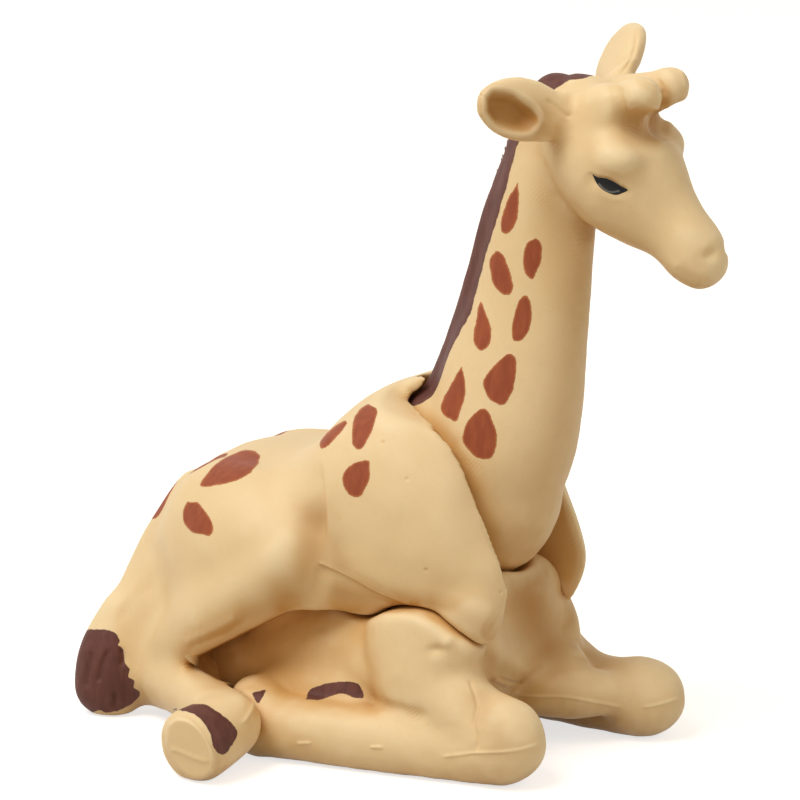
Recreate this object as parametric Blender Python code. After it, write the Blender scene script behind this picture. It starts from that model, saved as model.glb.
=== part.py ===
"""A lying giraffe calf moulded in soft plastic, whose neck nods on a cross pin.

The leg unit carries the two folded forelegs and the foot of the left hind leg. The upper body
is glued on it, and has the torso, the right hind leg and the tail. Its two shoulder flaps hold
the neck pin between them. The head is glued on the neck, and the two ears are plugged into it.

X runs forward, Y to the animal's left and Z up, with the ground at zero. While the pieces are
made the neck pin is over the origin. At the end everything moves, so that the middle of the
underside is at the origin.
"""

import math

import bmesh
import bpy
from mathutils import Matrix, Vector

# The torso and the seam where the two castings meet.
TORSO_LENGTH = 0.0465
TORSO_WIDTH = 0.0262
WITHERS_HEIGHT = 0.0376
SEAM_HEIGHT = 0.015

# The hind legs.
THIGH_THICKNESS = 0.0190
SHANK_THICKNESS = 0.0115
HOCK_THICKNESS = 0.0088
METATARSUS_THICKNESS = 0.0056
HIND_FOOT_LENGTH = 0.0185
HIND_FOOT_SPREAD = 0.0125
HOOF_WIDTH = 0.0082
HOOF_LENGTH = 0.0062

# The folded forelegs.
CANNON_LENGTH = 0.0250
CANNON_THICKNESS = 0.0065
KNEE_THICKNESS = 0.0090
FETLOCK_THICKNESS = 0.0068
RIGHT_FOREARM_DEPTH = 0.0150
LEFT_FOREARM_DEPTH = 0.0120
FOREARM_THICKNESS = 0.0078
RIGHT_SHOULDER_LEAD = 0.0018
LEFT_SHOULDER_LEAD = 0.0
# How high the shoulder stands in seams, and how much of its height the knee lacks.
RIGHT_LEG_SHARES = (1.22, 0.0)
LEFT_LEG_SHARES = (1.05, 0.09)
KNEE_SPREAD = 0.0212
RIGHT_KNEE_REACH = 0.0099
LEFT_KNEE_REACH = 0.0140
RIGHT_SPLAY = 0.0042
LEFT_SPLAY = 0.0014
LEFT_SAG = 0.0017

# The tail.
TAIL_THICKNESS = 0.0036
TUFT_WIDTH = 0.0080
TUFT_LENGTH = 0.0108

# The neck and its mane.
PIN_HEIGHT = 0.0270
NECK_RISE = 0.0380
NECK_REACH = 0.0115
NECK_DEPTH = 0.0122
NECK_WIDTH = 0.0080
NECK_BASE_DEPTH = 0.0203
NECK_BASE_WIDTH = 0.0140
MANE_WIDTH = 0.0024
MANE_DEPTH = 0.0030

# The head, its horns and its ears.
HEAD_LENGTH = 0.0250
HEAD_DEPTH = 0.0118
HEAD_WIDTH = 0.0112
HEAD_TILT = math.radians(41.0)
BROW_SIZE = 0.0052
HORN_LENGTH = 0.0053
HORN_THICKNESS = 0.0043
HORN_SPREAD = 0.0050
EAR_LENGTH = 0.0118
EAR_WIDTH = 0.0072
EAR_THICKNESS = 0.0026
EAR_CUP_DEPTH = 0.0016

# What holds the pieces together, and the room between them.
PIN_DIAMETER = 0.0032
PIN_LENGTH = 0.0196
PEG_DIAMETER = 0.0032
PEG_LENGTH = 0.0040
FIT_GAP = 0.0003
RUN_GAP = 0.0001
TURN_GAP = 0.0005
NOD_FORWARD = math.radians(18.0)
NOD_BACK = math.radians(4.0)
SWEEP_MARGIN = math.radians(1.0)
SWEEP_STEPS = 7

# How finely the castings are moulded.
VOXEL = 0.0005
OVERRUN = 0.0040
CUT_REACH = 0.0170
RING_SIDES = 24
SPLINE_STEPS = 5
SEAM_STEPS = 3
CAP_RINGS = 5
UPPER_TRIANGLES = 2500
LEG_TRIANGLES = 2000
NECK_TRIANGLES = 1600
HEAD_TRIANGLES = 1600
EAR_TRIANGLES = 260
CUTTER_TRIANGLES = 1600

# Along the torso from the pin, middle height, half width and half height.
TORSO_SHARES = (
    (-0.760, 0.378, 0.150, 0.075),
    (-0.728, 0.393, 0.265, 0.135),
    (-0.667, 0.420, 0.365, 0.212),
    (-0.581, 0.460, 0.427, 0.260),
    (-0.484, 0.490, 0.443, 0.253),
    (-0.387, 0.515, 0.458, 0.241),
    (-0.301, 0.557, 0.473, 0.268),
    (-0.226, 0.609, 0.492, 0.315),
    (-0.151, 0.637, 0.500, 0.339),
    (-0.075, 0.644, 0.500, 0.361),
    (0.000, 0.617, 0.489, 0.346),
    (0.075, 0.582, 0.453, 0.301),
    (0.129, 0.521, 0.410, 0.218),
    (0.158, 0.495, 0.382, 0.176),
    (0.180, 0.487, 0.350, 0.122),
    (0.189, 0.484, 0.328, 0.069),
)
# Along the torso from the pin, middle height in seams, half width and half height in seams.
BELLY_SHARES = (
    (-0.56, 0.42, 0.27, 0.36),
    (-0.48, 0.45, 0.31, 0.43),
    (-0.38, 0.48, 0.36, 0.51),
    (-0.28, 0.53, 0.39, 0.59),
    (-0.17, 0.57, 0.43, 0.63),
    (0.00, 0.62, 0.42, 0.63),
    (0.08, 0.76, 0.36, 0.57),
    (0.130, 0.88, 0.31, 0.42),
)
# Across the seam, from the pin: its place along the torso and its height.
SEAM_SHARES = (
    (-0.267, 1.01),
    (-0.220, 1.00),
    (-0.174, 0.96),
    (-0.138, 0.953),
    (-0.103, 0.993),
    (-0.062, 1.067),
    (-0.013, 1.113),
    (0.035, 1.120),
    (0.075, 1.075),
    (0.110, 1.015),
    (0.142, 0.945),
    (0.176, 0.870),
    (0.300, 0.870),
)
# Behind the seam the shank's underside slopes down to the hock.
SHANK_SHARES = (
    (-0.250, 1.01),
    (-0.267, 1.01),
    (-0.460, 0.66),
    (-0.560, 0.47),
    (-0.250, 0.47),
)
# Between the shank and the splayed foot there is room down to here.
HOLLOW_SHARES = (
    (-0.250, 0.55),
    (-0.505, 0.55),
    (-0.505, 0.20),
    (-0.250, 0.20),
)
# Beside the foot of the mane the right flap's top slopes forward: along the torso, and height.
FLAP_TOP_SHARES = (
    (-0.195, 0.992),
    (-0.142, 0.950),
    (0.010, 0.905),
    (0.200, 0.850),
    (0.200, 1.100),
    (-0.195, 1.100),
)


def spline(rows, steps):
    """The rows with Catmull-Rom rows between them, every column smoothed alike."""
    first = [2 * a - b for a, b in zip(rows[0], rows[1])]
    last = [2 * a - b for a, b in zip(rows[-1], rows[-2])]
    ends = [first, *rows, last]
    smooth = []
    for before, start, end, after in zip(ends, ends[1:], ends[2:], ends[3:]):
        for step in range(steps):
            t = step / steps
            smooth.append([
                0.5 * (2 * b + (c - a) * t + (2 * a - 5 * b + 4 * c - d) * t**2
                       + (3 * b - a - 3 * c + d) * t**3)
                for a, b, c, d in zip(before, start, end, after)
            ])
    smooth.append(list(rows[-1]))
    return smooth


def scaled(rows, sizes):
    """Rows of shares as lengths, each column times its own size."""
    return [[share * size for share, size in zip(row, sizes)] for row in rows]


def ring(centre, side, up, half_side, half_up, squareness):
    """The points of one section: an ellipse, or a squarer one."""
    points = []
    for index in range(RING_SIDES):
        angle = math.tau * index / RING_SIDES
        across, along = math.cos(angle), math.sin(angle)
        across = math.copysign(abs(across) ** squareness, across)
        along = math.copysign(abs(along) ** squareness, along)
        points.append(centre + side * (across * half_side) + up * (along * half_up))
    return points


def loft(stations, side=(0, 1, 0), facing=None, squareness=1.0, caps=(1.0, 1.0)):
    """A closed skin through sections of x, y, z, half width and half height, with round ends.

    Each section is square to the line of the centres, or to facing where that is given.
    """
    rows = [(Vector(row[:3]), row[3], row[4]) for row in spline(stations, SPLINE_STEPS)]
    centres = [row[0] for row in rows]
    ahead, behind = centres[1:] + centres[-1:], centres[:1] + centres[:-1]
    tangents = [
        Vector(facing) if facing else (after - before).normalized()
        for after, before in zip(ahead, behind)
    ]
    sections = [(*row, tangent) for row, tangent in zip(rows, tangents)]

    def rounded(section, direction, cap):
        centre, half_side, half_up, tangent = section
        reach = min(half_side, half_up) * cap
        for index in range(1, CAP_RINGS):
            angle = math.pi / 2 * index / CAP_RINGS
            yield (
                centre + tangent * (direction * reach * math.sin(angle)),
                half_side * math.cos(angle),
                half_up * math.cos(angle),
                tangent,
            )

    start = list(rounded(sections[0], -1, caps[0]))[::-1]
    end = list(rounded(sections[-1], 1, caps[1]))
    mesh = bmesh.new()
    loops = []
    for centre, half_side, half_up, tangent in start + sections + end:
        across = Vector(side)
        across = (across - tangent * across.dot(tangent)).normalized()
        up = tangent.cross(across)
        points = ring(centre, across, up, half_side, half_up, squareness)
        loops.append([mesh.verts.new(point) for point in points])
    for one, two in zip(loops, loops[1:]):
        for index in range(RING_SIDES):
            after = (index + 1) % RING_SIDES
            mesh.faces.new((one[index], one[after], two[after], two[index]))
    mesh.faces.new(loops[0][::-1])
    mesh.faces.new(loops[-1])
    bmesh.ops.recalc_face_normals(mesh, faces=mesh.faces)
    return mesh


def ellipsoid(centre, radii, turn=None):
    """A closed ball of three radii, turned by a matrix."""
    mesh = bmesh.new()
    matrix = Matrix.Translation(centre) @ (turn or Matrix()) @ Matrix.Diagonal((*radii, 1))
    bmesh.ops.create_uvsphere(
        mesh, u_segments=RING_SIDES, v_segments=RING_SIDES // 2, radius=1, matrix=matrix
    )
    return mesh


def rod(start, end, diameter):
    """A round bar with flat ends."""
    start, end = Vector(start), Vector(end)
    mesh = bmesh.new()
    turn = (end - start).to_track_quat("Z", "Y").to_matrix().to_4x4()
    matrix = Matrix.Translation((start + end) / 2) @ turn
    bmesh.ops.create_cone(
        mesh, cap_ends=True, segments=RING_SIDES, radius1=diameter / 2, radius2=diameter / 2,
        depth=(end - start).length, matrix=matrix,
    )
    return mesh


def add_object(name, mesh):
    """A scene object from a bmesh, which is used up."""
    data = bpy.data.meshes.new(name)
    mesh.to_mesh(data)
    mesh.free()
    obj = bpy.data.objects.new(name, data)
    bpy.context.scene.collection.objects.link(obj)
    return obj


def merged(meshes):
    """Several bmeshes as one."""
    whole = bmesh.new()
    for mesh in meshes:
        data = bpy.data.meshes.new("part_of_form")
        mesh.to_mesh(data)
        mesh.free()
        whole.from_mesh(data)
        bpy.data.meshes.remove(data)
    return whole


def apply_modifiers(obj):
    """Writes what the modifiers make into the object's own mesh."""
    graph = bpy.context.evaluated_depsgraph_get()
    result = bpy.data.meshes.new_from_object(obj.evaluated_get(graph))
    old = obj.data
    obj.modifiers.clear()
    obj.data = result
    bpy.data.meshes.remove(old)


def fuse(name, meshes, smoothing):
    """One casting from overlapping forms, with the creases between them softened."""
    obj = add_object(name, merged(meshes))
    remesh = obj.modifiers.new("Casting", "REMESH")
    remesh.mode = "VOXEL"
    remesh.voxel_size = VOXEL
    smooth = obj.modifiers.new("Softened", "SMOOTH")
    smooth.factor = 0.5
    smooth.iterations = smoothing
    apply_modifiers(obj)
    return obj


def lighten(obj, triangles):
    """Fewer faces where the surface is plain."""
    now = sum(len(face.vertices) - 2 for face in obj.data.polygons)
    decimate = obj.modifiers.new("Lighter", "DECIMATE")
    decimate.ratio = min(1.0, triangles / now)
    apply_modifiers(obj)


def duplicate(obj, name):
    copy = bpy.data.objects.new(name, obj.data.copy())
    bpy.context.scene.collection.objects.link(copy)
    return copy


def grown(obj, name, gap, triangles=CUTTER_TRIANGLES):
    """A copy of an object, larger all over by a gap, to cut room for it."""
    copy = duplicate(obj, name)
    displace = copy.modifiers.new("Room", "DISPLACE")
    displace.mid_level = 0
    displace.strength = gap
    remesh = copy.modifiers.new("Clean", "REMESH")
    remesh.mode = "VOXEL"
    remesh.voxel_size = VOXEL
    apply_modifiers(copy)
    lighten(copy, triangles)
    return copy


def boolean(obj, other, operation):
    """Cuts, joins or keeps what two solids share, and removes the second."""
    modifier = obj.modifiers.new("Cut", "BOOLEAN")
    modifier.object = other
    modifier.operation = operation
    modifier.solver = "EXACT"
    apply_modifiers(obj)
    data = other.data
    bpy.data.objects.remove(other)
    bpy.data.meshes.remove(data)


def cut_by(obj, mesh):
    boolean(obj, add_object("cutter", mesh), "DIFFERENCE")


def join_with(obj, mesh):
    boolean(obj, add_object("addition", mesh), "UNION")


def block(low, high):
    """A box from its lowest to its highest corner."""
    low, high = Vector(low), Vector(high)
    mesh = bmesh.new()
    matrix = Matrix.Translation((low + high) / 2) @ Matrix.Diagonal((*(high - low), 1))
    bmesh.ops.create_cube(mesh, size=1, matrix=matrix)
    return mesh


def sit_flat(obj):
    """Cuts off whatever reaches below the ground."""
    reach = TORSO_LENGTH * 2
    cut_by(obj, block((-reach, -reach, -OVERRUN), (reach, reach, 0)))


def peg(holder, bored, foot, along):
    """A glue peg that stands on one casting, and the bore for it in the other."""
    tip = foot + along * PEG_LENGTH
    sunk = foot - along * (PEG_LENGTH / 2)
    cut_by(bored, rod(sunk, tip + along * FIT_GAP, PEG_DIAMETER + 2 * FIT_GAP))
    join_with(holder, rod(sunk, tip, PEG_DIAMETER))


def finish(obj, colour, roughness):
    """Smooth shading and the piece's own plastic."""
    material = bpy.data.materials.new(obj.name + "_plastic")
    material.use_nodes = True
    shader = material.node_tree.nodes["Principled BSDF"]
    shader.inputs["Base Color"].default_value = (*colour, 1)
    shader.inputs["Roughness"].default_value = roughness
    shader.inputs["Metallic"].default_value = 0
    obj.data.materials.clear()
    obj.data.materials.append(material)
    obj.data.shade_smooth()
    obj.data.set_sharp_from_angle(angle=math.radians(50))


# The neck, built about its pin.


def neck_point(reach_share, rise_share):
    return Vector((NECK_REACH * reach_share, 0, PIN_HEIGHT + NECK_RISE * rise_share))


# Forward, up, half depth and half width: the depth and width are of the neck halfway up.
NECK_SHARES = (
    (0.20, 0.060, 0.66, 0.85),
    (0.34, 0.153, 0.64, 0.83),
    (0.46, 0.310, 0.605, 0.70),
    (0.54, 0.410, 0.560, 0.60),
    (0.625, 0.518, 0.505, 0.515),
    (0.713, 0.697, 0.460, 0.465),
    (0.81, 0.829, 0.42, 0.44),
    (0.94, 0.947, 0.375, 0.41),
    (1.00, 1.000, 0.33, 0.37),
)
# The outer line of the mane, forward and up, and how full it is there.
MANE_SHARES = (
    (-0.47, 0.16, 0.55),
    (-0.44, 0.24, 0.9),
    (-0.30, 0.33, 1.0),
    (-0.14, 0.46, 1.0),
    (0.005, 0.60, 1.0),
    (0.15, 0.75, 1.0),
    (0.325, 0.876, 1.0),
    (0.45, 0.98, 1.0),
    (0.63, 1.063, 1.0),
    (0.80, 1.108, 0.95),
    (0.97, 1.118, 0.75),
    (1.12, 1.108, 0.45),
)


def neck_form():
    """The round base, the tapering neck and the mane along its back."""
    pin = neck_point(0, 0)
    base = ellipsoid(pin, (NECK_BASE_DEPTH / 2, NECK_BASE_WIDTH / 2, NECK_BASE_DEPTH / 2))
    stem = loft([
        (*neck_point(reach, rise), width * NECK_WIDTH, depth * NECK_DEPTH)
        for reach, rise, depth, width in NECK_SHARES
    ])
    line = [neck_point(reach, rise) for reach, rise, _ in MANE_SHARES]
    rows = []
    for index, (point, (_, _, full)) in enumerate(zip(line, MANE_SHARES)):
        after = line[min(index + 1, len(line) - 1)]
        before = line[max(index - 1, 0)]
        inward = Vector((0, 1, 0)).cross(after - before).normalized()
        half_depth = MANE_DEPTH / 2 * full
        rows.append((*(point + inward * half_depth), MANE_WIDTH / 2 * full, half_depth))
    mane = loft(rows)
    return fuse("neck", [base, stem, mane], smoothing=4)


def swept(obj):
    """The space that the neck passes through as it nods, with room to turn."""
    pin = neck_point(0, 0)
    low, high = -NOD_BACK - SWEEP_MARGIN, NOD_FORWARD + SWEEP_MARGIN
    whole = bmesh.new()
    for step in range(SWEEP_STEPS + 1):
        angle = low + (high - low) * step / SWEEP_STEPS
        turn = Matrix.Translation(pin) @ Matrix.Rotation(angle, 4, "Y") @ Matrix.Translation(-pin)
        data = obj.data.copy()
        data.transform(turn)
        whole.from_mesh(data)
        bpy.data.meshes.remove(data)
    space = add_object("neck_sweep", whole)
    remesh = space.modifiers.new("Union", "REMESH")
    remesh.mode = "VOXEL"
    remesh.voxel_size = VOXEL
    apply_modifiers(space)
    room = grown(space, "neck_room", TURN_GAP)
    bpy.data.objects.remove(space)
    return room


# The head, built level along X from its crown and then tilted onto the neck.

# Along the head, middle height, half width and half depth.
HEAD_SHARES = (
    (0.024, 0.025, 0.214, 0.220),
    (0.104, 0.034, 0.348, 0.356),
    (0.224, 0.027, 0.450, 0.460),
    (0.344, 0.014, 0.520, 0.520),
    (0.464, 0.000, 0.515, 0.515),
    (0.564, -0.005, 0.450, 0.452),
    (0.656, -0.004, 0.365, 0.375),
    (0.728, 0.006, 0.308, 0.308),
    (0.808, 0.004, 0.285, 0.272),
    (0.884, -0.015, 0.297, 0.270),
    (0.940, -0.026, 0.248, 0.217),
)
# Along the ear from its root, half width and half thickness.
EAR_SHARES = (
    (-0.16, 0.24, 0.42),
    (0.02, 0.26, 0.45),
    (0.20, 0.36, 0.50),
    (0.42, 0.49, 0.52),
    (0.64, 0.50, 0.50),
    (0.84, 0.38, 0.42),
    (0.93, 0.25, 0.32),
)
CROWN_SHARE = 0.144
SPLIT_LOW_SHARES = (0.53, 0.884)
SPLIT_HIGH_SHARES = (0.92, 0.935)


def head_frame():
    """From the level head to its place: turned nose down about the top of the neck."""
    return (
        Matrix.Translation(neck_point(1, 1))
        @ Matrix.Rotation(HEAD_TILT, 4, "Y")
        @ Matrix.Translation((-HEAD_LENGTH * CROWN_SHARE, 0, 0))
    )


def head_form(neck):
    """Skull, muzzle, brows and horns, with the top of the neck and of the mane."""
    frame = head_frame()
    skull = loft(
        [
            (along * HEAD_LENGTH, 0, middle * HEAD_DEPTH, width * HEAD_WIDTH, depth * HEAD_DEPTH)
            for along, middle, width, depth in HEAD_SHARES
        ],
        caps=(1.0, 0.75),
    )
    bmesh.ops.transform(skull, matrix=frame, verts=skull.verts)
    forms = [skull]
    for hand in (-1, 1):
        brow_centre = frame @ Vector((HEAD_LENGTH * 0.43, hand * HEAD_WIDTH * 0.40, HEAD_DEPTH * 0.26))
        forms.append(ellipsoid(brow_centre, (BROW_SIZE / 2, BROW_SIZE * 0.42, BROW_SIZE * 0.4)))
        root = frame @ Vector((HEAD_LENGTH * 0.24, hand * HORN_SPREAD / 2, HEAD_DEPTH * 0.42))
        lean = Vector((0.95, hand * 0.08, 0.28)).normalized()
        tip = root + lean * HORN_LENGTH
        forms.append(loft(
            [
                (*root, HORN_THICKNESS * 0.5, HORN_THICKNESS * 0.5),
                (*root.lerp(tip, 0.45), HORN_THICKNESS * 0.44, HORN_THICKNESS * 0.44),
                (*root.lerp(tip, 0.80), HORN_THICKNESS * 0.52, HORN_THICKNESS * 0.50),
            ],
        ))
    nape = bmesh.new()
    nape.from_mesh(neck.data)
    low, high = neck_point(*SPLIT_LOW_SHARES), neck_point(*SPLIT_HIGH_SHARES)
    normal = (high - low).cross(Vector((0, 1, 0)))
    cut = bmesh.ops.bisect_plane(
        nape, geom=nape.verts[:] + nape.edges[:] + nape.faces[:], plane_co=low, plane_no=normal,
        clear_outer=normal.z < 0, clear_inner=normal.z > 0,
    )
    edges = [item for item in cut["geom_cut"] if isinstance(item, bmesh.types.BMEdge)]
    bmesh.ops.contextual_create(nape, geom=edges)
    return fuse("head", [*forms, nape], smoothing=3)


def ear_form(name, root, tip, opening):
    """A leaf with a hollow front, whose narrow foot plugs into the head."""
    root, tip, opening = Vector(root), Vector(tip), Vector(opening).normalized()
    along = (tip - root).normalized()
    root = tip - along * EAR_LENGTH
    width = along.cross(opening).normalized()
    opening = width.cross(along)
    leaf = loft(
        [
            (*(root + along * (share * EAR_LENGTH)), half_width * EAR_WIDTH, half_depth * EAR_THICKNESS)
            for share, half_width, half_depth in EAR_SHARES
        ],
        side=width,
    )
    ear = fuse(name, [leaf], smoothing=2)
    lighten(ear, EAR_TRIANGLES * 2)
    turn = Matrix((along, width, opening)).transposed().to_4x4()
    centre = root + along * (EAR_LENGTH * 0.56) + opening * (EAR_THICKNESS * 0.5 + EAR_WIDTH * 0.2)
    depth = EAR_WIDTH * 0.2 + EAR_CUP_DEPTH
    cut_by(ear, ellipsoid(centre, (EAR_LENGTH * 0.40, EAR_WIDTH * 0.40, depth), turn))
    lighten(ear, EAR_TRIANGLES)
    return ear


def make_torso():
    rows = [
        (along * TORSO_LENGTH, 0, middle * WITHERS_HEIGHT, width * TORSO_WIDTH, height * WITHERS_HEIGHT)
        for along, middle, width, height in TORSO_SHARES
    ]
    return loft(rows, facing=(1, 0, 0), squareness=0.8, caps=(1.0, 0.3))


def torso_point(along, across, up):
    """A place on the body in shares of the torso's length, width and height at the withers."""
    return Vector((along * TORSO_LENGTH, across * TORSO_WIDTH, up * WITHERS_HEIGHT))


def hind_leg(hand):
    """Thigh and shank down to the hock, on one side: -1 is the right one, whose foot is splayed."""
    hip = torso_point(-0.52, hand * 0.26, 0.50)
    stifle = torso_point(-0.285, hand * 0.42, 0.50)
    shin = torso_point(-0.44, hand * 0.44, 0.35)
    hock = torso_point(-0.675, hand * 0.29, 0.118)
    thigh = loft([
        (*hip, THIGH_THICKNESS * 0.36, THIGH_THICKNESS * 0.46),
        (*hip.lerp(stifle, 0.5), THIGH_THICKNESS * 0.36, THIGH_THICKNESS * 0.44),
        (*stifle, THIGH_THICKNESS * 0.22, THIGH_THICKNESS * 0.32),
    ])
    shank = loft([
        (*stifle, SHANK_THICKNESS * 0.40, SHANK_THICKNESS * 0.50),
        (*shin, SHANK_THICKNESS * 0.42, SHANK_THICKNESS * 0.50),
        (*shin.lerp(hock, 0.6), SHANK_THICKNESS * 0.34, SHANK_THICKNESS * 0.42),
        (*hock, HOCK_THICKNESS * 0.40, HOCK_THICKNESS * 0.50),
    ])
    haunch = ellipsoid(
        torso_point(-0.430, hand * 0.325, 0.518),
        (THIGH_THICKNESS * 0.46, THIGH_THICKNESS * 0.25, THIGH_THICKNESS * 0.42),
    )
    return [thigh, shank, haunch], hock


def splayed_foot(hock):
    """The right hind foot: out along the ground, with the hoof turned sole outward."""
    fetlock = hock + Vector((HIND_FOOT_LENGTH * 0.86, -HIND_FOOT_SPREAD, 0))
    sole = fetlock + Vector((-0.20, -0.96, -0.18)).normalized() * HOOF_LENGTH
    half = METATARSUS_THICKNESS / 2
    foot = loft([
        (*hock, HOCK_THICKNESS * 0.42, HOCK_THICKNESS * 0.46),
        (*hock.lerp(fetlock, 0.35), half * 1.05, half * 1.1),
        (*hock.lerp(fetlock, 0.7), half, half),
        (*fetlock, half * 1.15, half * 1.2),
    ])
    pastern = fetlock.lerp(sole, 0.2)
    hoof = loft(
        [
            (*pastern, HOOF_WIDTH * 0.42, HOOF_WIDTH * 0.42),
            (*fetlock.lerp(sole, 0.7), HOOF_WIDTH * 0.47, HOOF_WIDTH * 0.47),
            (*sole, HOOF_WIDTH * 0.46, HOOF_WIDTH * 0.48),
        ],
        side=(1, 0, 0),
        caps=(1.0, 0.35),
    )
    return [foot, hoof]


def tail():
    """The tail lies down the rump and the ham, and its tuft rests beside the hock."""
    root = torso_point(-0.650, -0.115, 0.610)
    bend = torso_point(-0.722, -0.214, 0.455)
    low = torso_point(-0.764, -0.340, 0.280)
    tip = low + Vector((-0.08, -0.24, -0.97)).normalized() * TUFT_LENGTH
    half = TAIL_THICKNESS / 2
    strand = loft([
        (*root, half * 1.3, half),
        (*bend, half * 1.1, half),
        (*low, half, half * 0.9),
    ], side=(1, 0, 0))
    tuft = loft([
        (*low, TUFT_WIDTH * 0.30, TUFT_WIDTH * 0.28),
        (*low.lerp(tip, 0.4), TUFT_WIDTH * 0.48, TUFT_WIDTH * 0.36),
        (*low.lerp(tip, 0.8), TUFT_WIDTH * 0.46, TUFT_WIDTH * 0.34),
    ], side=(0.86, 0.51, 0))
    ham = ellipsoid(
        torso_point(-0.700, -0.300, 0.270),
        (TAIL_THICKNESS, TAIL_THICKNESS * 0.7, TUFT_LENGTH * 0.5),
    )
    return [strand, tuft, ham]


def make_upper_body():
    right, hock = hind_leg(-1)
    left, _ = hind_leg(1)
    flap_tip = ellipsoid(
        Vector((TORSO_LENGTH * 0.115, -TORSO_WIDTH * 0.35, SEAM_HEIGHT * 1.08)),
        (TORSO_WIDTH * 0.14, TORSO_WIDTH * 0.11, SEAM_HEIGHT * 0.25),
    )
    forms = [make_torso(), flap_tip, *right, *left, *splayed_foot(hock), *tail()]
    return fuse("upper_body", forms, smoothing=5)


def prism(outline, start, end):
    """A bar across the body between two places, with an outline of places along it and heights."""
    mesh = bmesh.new()
    face = mesh.faces.new([mesh.verts.new((along, start, height)) for along, height in outline])
    extruded = bmesh.ops.extrude_face_region(mesh, geom=[face])
    moved = [item for item in extruded["geom"] if isinstance(item, bmesh.types.BMVert)]
    bmesh.ops.translate(mesh, verts=moved, vec=(0, end - start, 0))
    bmesh.ops.recalc_face_normals(mesh, faces=mesh.faces)
    return mesh


def seam_line(lower):
    """The wavy seam as places along the body and heights, from the thighs to past the breast."""
    rows = spline(scaled(SEAM_SHARES, (TORSO_LENGTH, SEAM_HEIGHT)), SEAM_STEPS)
    return [(along, height - lower) for along, height in rows]


def under_seam():
    """All that lies under the seam, which the upper body doesn't have."""
    line = seam_line(0)
    outline = [*line, (line[-1][0], -OVERRUN), (line[0][0], -OVERRUN)]
    return prism(outline, -CUT_REACH, CUT_REACH)


def over_seam(hand):
    """All that lies over the seam beside the breast, which the leg unit doesn't have."""
    line = seam_line(FIT_GAP)
    outline = [*line, (line[-1][0], WITHERS_HEIGHT), (line[0][0], WITHERS_HEIGHT)]
    return prism(outline, hand * (NECK_BASE_WIDTH / 2 + TURN_GAP), hand * CUT_REACH)


def shank_wedge():
    """The room under the sloping shanks, over the splayed foot."""
    return prism(scaled(SHANK_SHARES, (TORSO_LENGTH, SEAM_HEIGHT)), -CUT_REACH, CUT_REACH)


def flap_slope():
    """The room over the sloping top of the right flap."""
    outline = scaled(FLAP_TOP_SHARES, (TORSO_LENGTH, WITHERS_HEIGHT))
    return prism(outline, -CUT_REACH, -TORSO_WIDTH * 0.09)


def foot_hollow():
    """The room between the splayed foot and the belly."""
    half = TORSO_WIDTH * 0.40
    return prism(scaled(HOLLOW_SHARES, (TORSO_LENGTH, SEAM_HEIGHT)), -half, half)


def seat_well():
    """Under the neck the seam gives way, so that the leg unit closes the neck's seat."""
    radius = NECK_BASE_DEPTH * 0.27
    return rod((0, 0, -OVERRUN), (0, 0, PIN_HEIGHT - NECK_BASE_DEPTH * 0.4), 2 * radius)


def front_slot():
    """The flaps stand apart in front of the neck."""
    half = NECK_BASE_WIDTH / 2 + TURN_GAP
    low = PIN_HEIGHT - NECK_BASE_DEPTH * 0.38
    return block((0, -half, low), (TORSO_LENGTH, half, WITHERS_HEIGHT + OVERRUN))


def breast_slot():
    """Under the neck the flaps stand apart down to the ground, and the breast fills the room."""
    half = NECK_BASE_WIDTH / 2 + TURN_GAP
    return block((0, -half, -OVERRUN), (TORSO_LENGTH, half, PIN_HEIGHT))


def foreleg(hand, knee_reach, splay, sag, depth, lead, rise, squat):
    """Forearm, knee, cannon, fetlock and folded hoof of one foreleg."""
    knee = Vector((knee_reach, hand * KNEE_SPREAD / 2, KNEE_THICKNESS * 0.48))
    fetlock = Vector((knee.x - CANNON_LENGTH, knee.y + hand * splay, FETLOCK_THICKNESS * 0.48))
    shoulder = Vector((lead, hand * TORSO_WIDTH * 0.36, SEAM_HEIGHT * rise))
    drop = Vector((0, 0, sag))
    elbow = Vector((knee_reach * 0.08, hand * TORSO_WIDTH * 0.40, SEAM_HEIGHT * 0.65)) - drop * 0.6
    middle = elbow.lerp(knee, 0.5) - drop
    half = CANNON_THICKNESS / 2
    lying = Vector((0, 0, half * 0.92))
    knee_ground, fetlock_ground = Vector((knee.x, knee.y, 0)), Vector((fetlock.x, fetlock.y, 0))
    cannon = loft([
        (*(knee_ground + lying), half, half),
        (*(knee_ground.lerp(fetlock_ground, 0.3) + lying), half, half),
        (*(knee_ground.lerp(fetlock_ground, 0.75) + lying), half * 0.96, half * 0.96),
        (*fetlock, FETLOCK_THICKNESS * 0.45, FETLOCK_THICKNESS * 0.48),
    ], squareness=0.9)
    knee_height = KNEE_THICKNESS * (1 - squat)
    joint = ellipsoid(
        knee_ground + Vector((0, 0, knee_height * 0.48)),
        (KNEE_THICKNESS * 0.52, KNEE_THICKNESS * 0.47, knee_height * 0.5),
    )
    forearm = loft([
        (*shoulder, FOREARM_THICKNESS * 0.48, depth * 0.50),
        (*elbow, FOREARM_THICKNESS * 0.50, depth * 0.38),
        (*middle, FOREARM_THICKNESS * 0.47, depth * 0.25),
        (*knee, KNEE_THICKNESS * 0.40, KNEE_THICKNESS * 0.40),
    ])
    toe = fetlock + Vector((-0.6, -hand * 0.75, 0.05)).normalized() * HOOF_LENGTH * 0.8
    hoof = loft([
        (*fetlock, HOOF_WIDTH * 0.40, HOOF_WIDTH * 0.44),
        (*fetlock.lerp(toe, 0.6), HOOF_WIDTH * 0.44, HOOF_WIDTH * 0.46),
        (*toe, HOOF_WIDTH * 0.40, HOOF_WIDTH * 0.44),
    ], side=(1, 0, 0), caps=(1.0, 0.3))
    return [cannon, joint, forearm, hoof]


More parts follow.
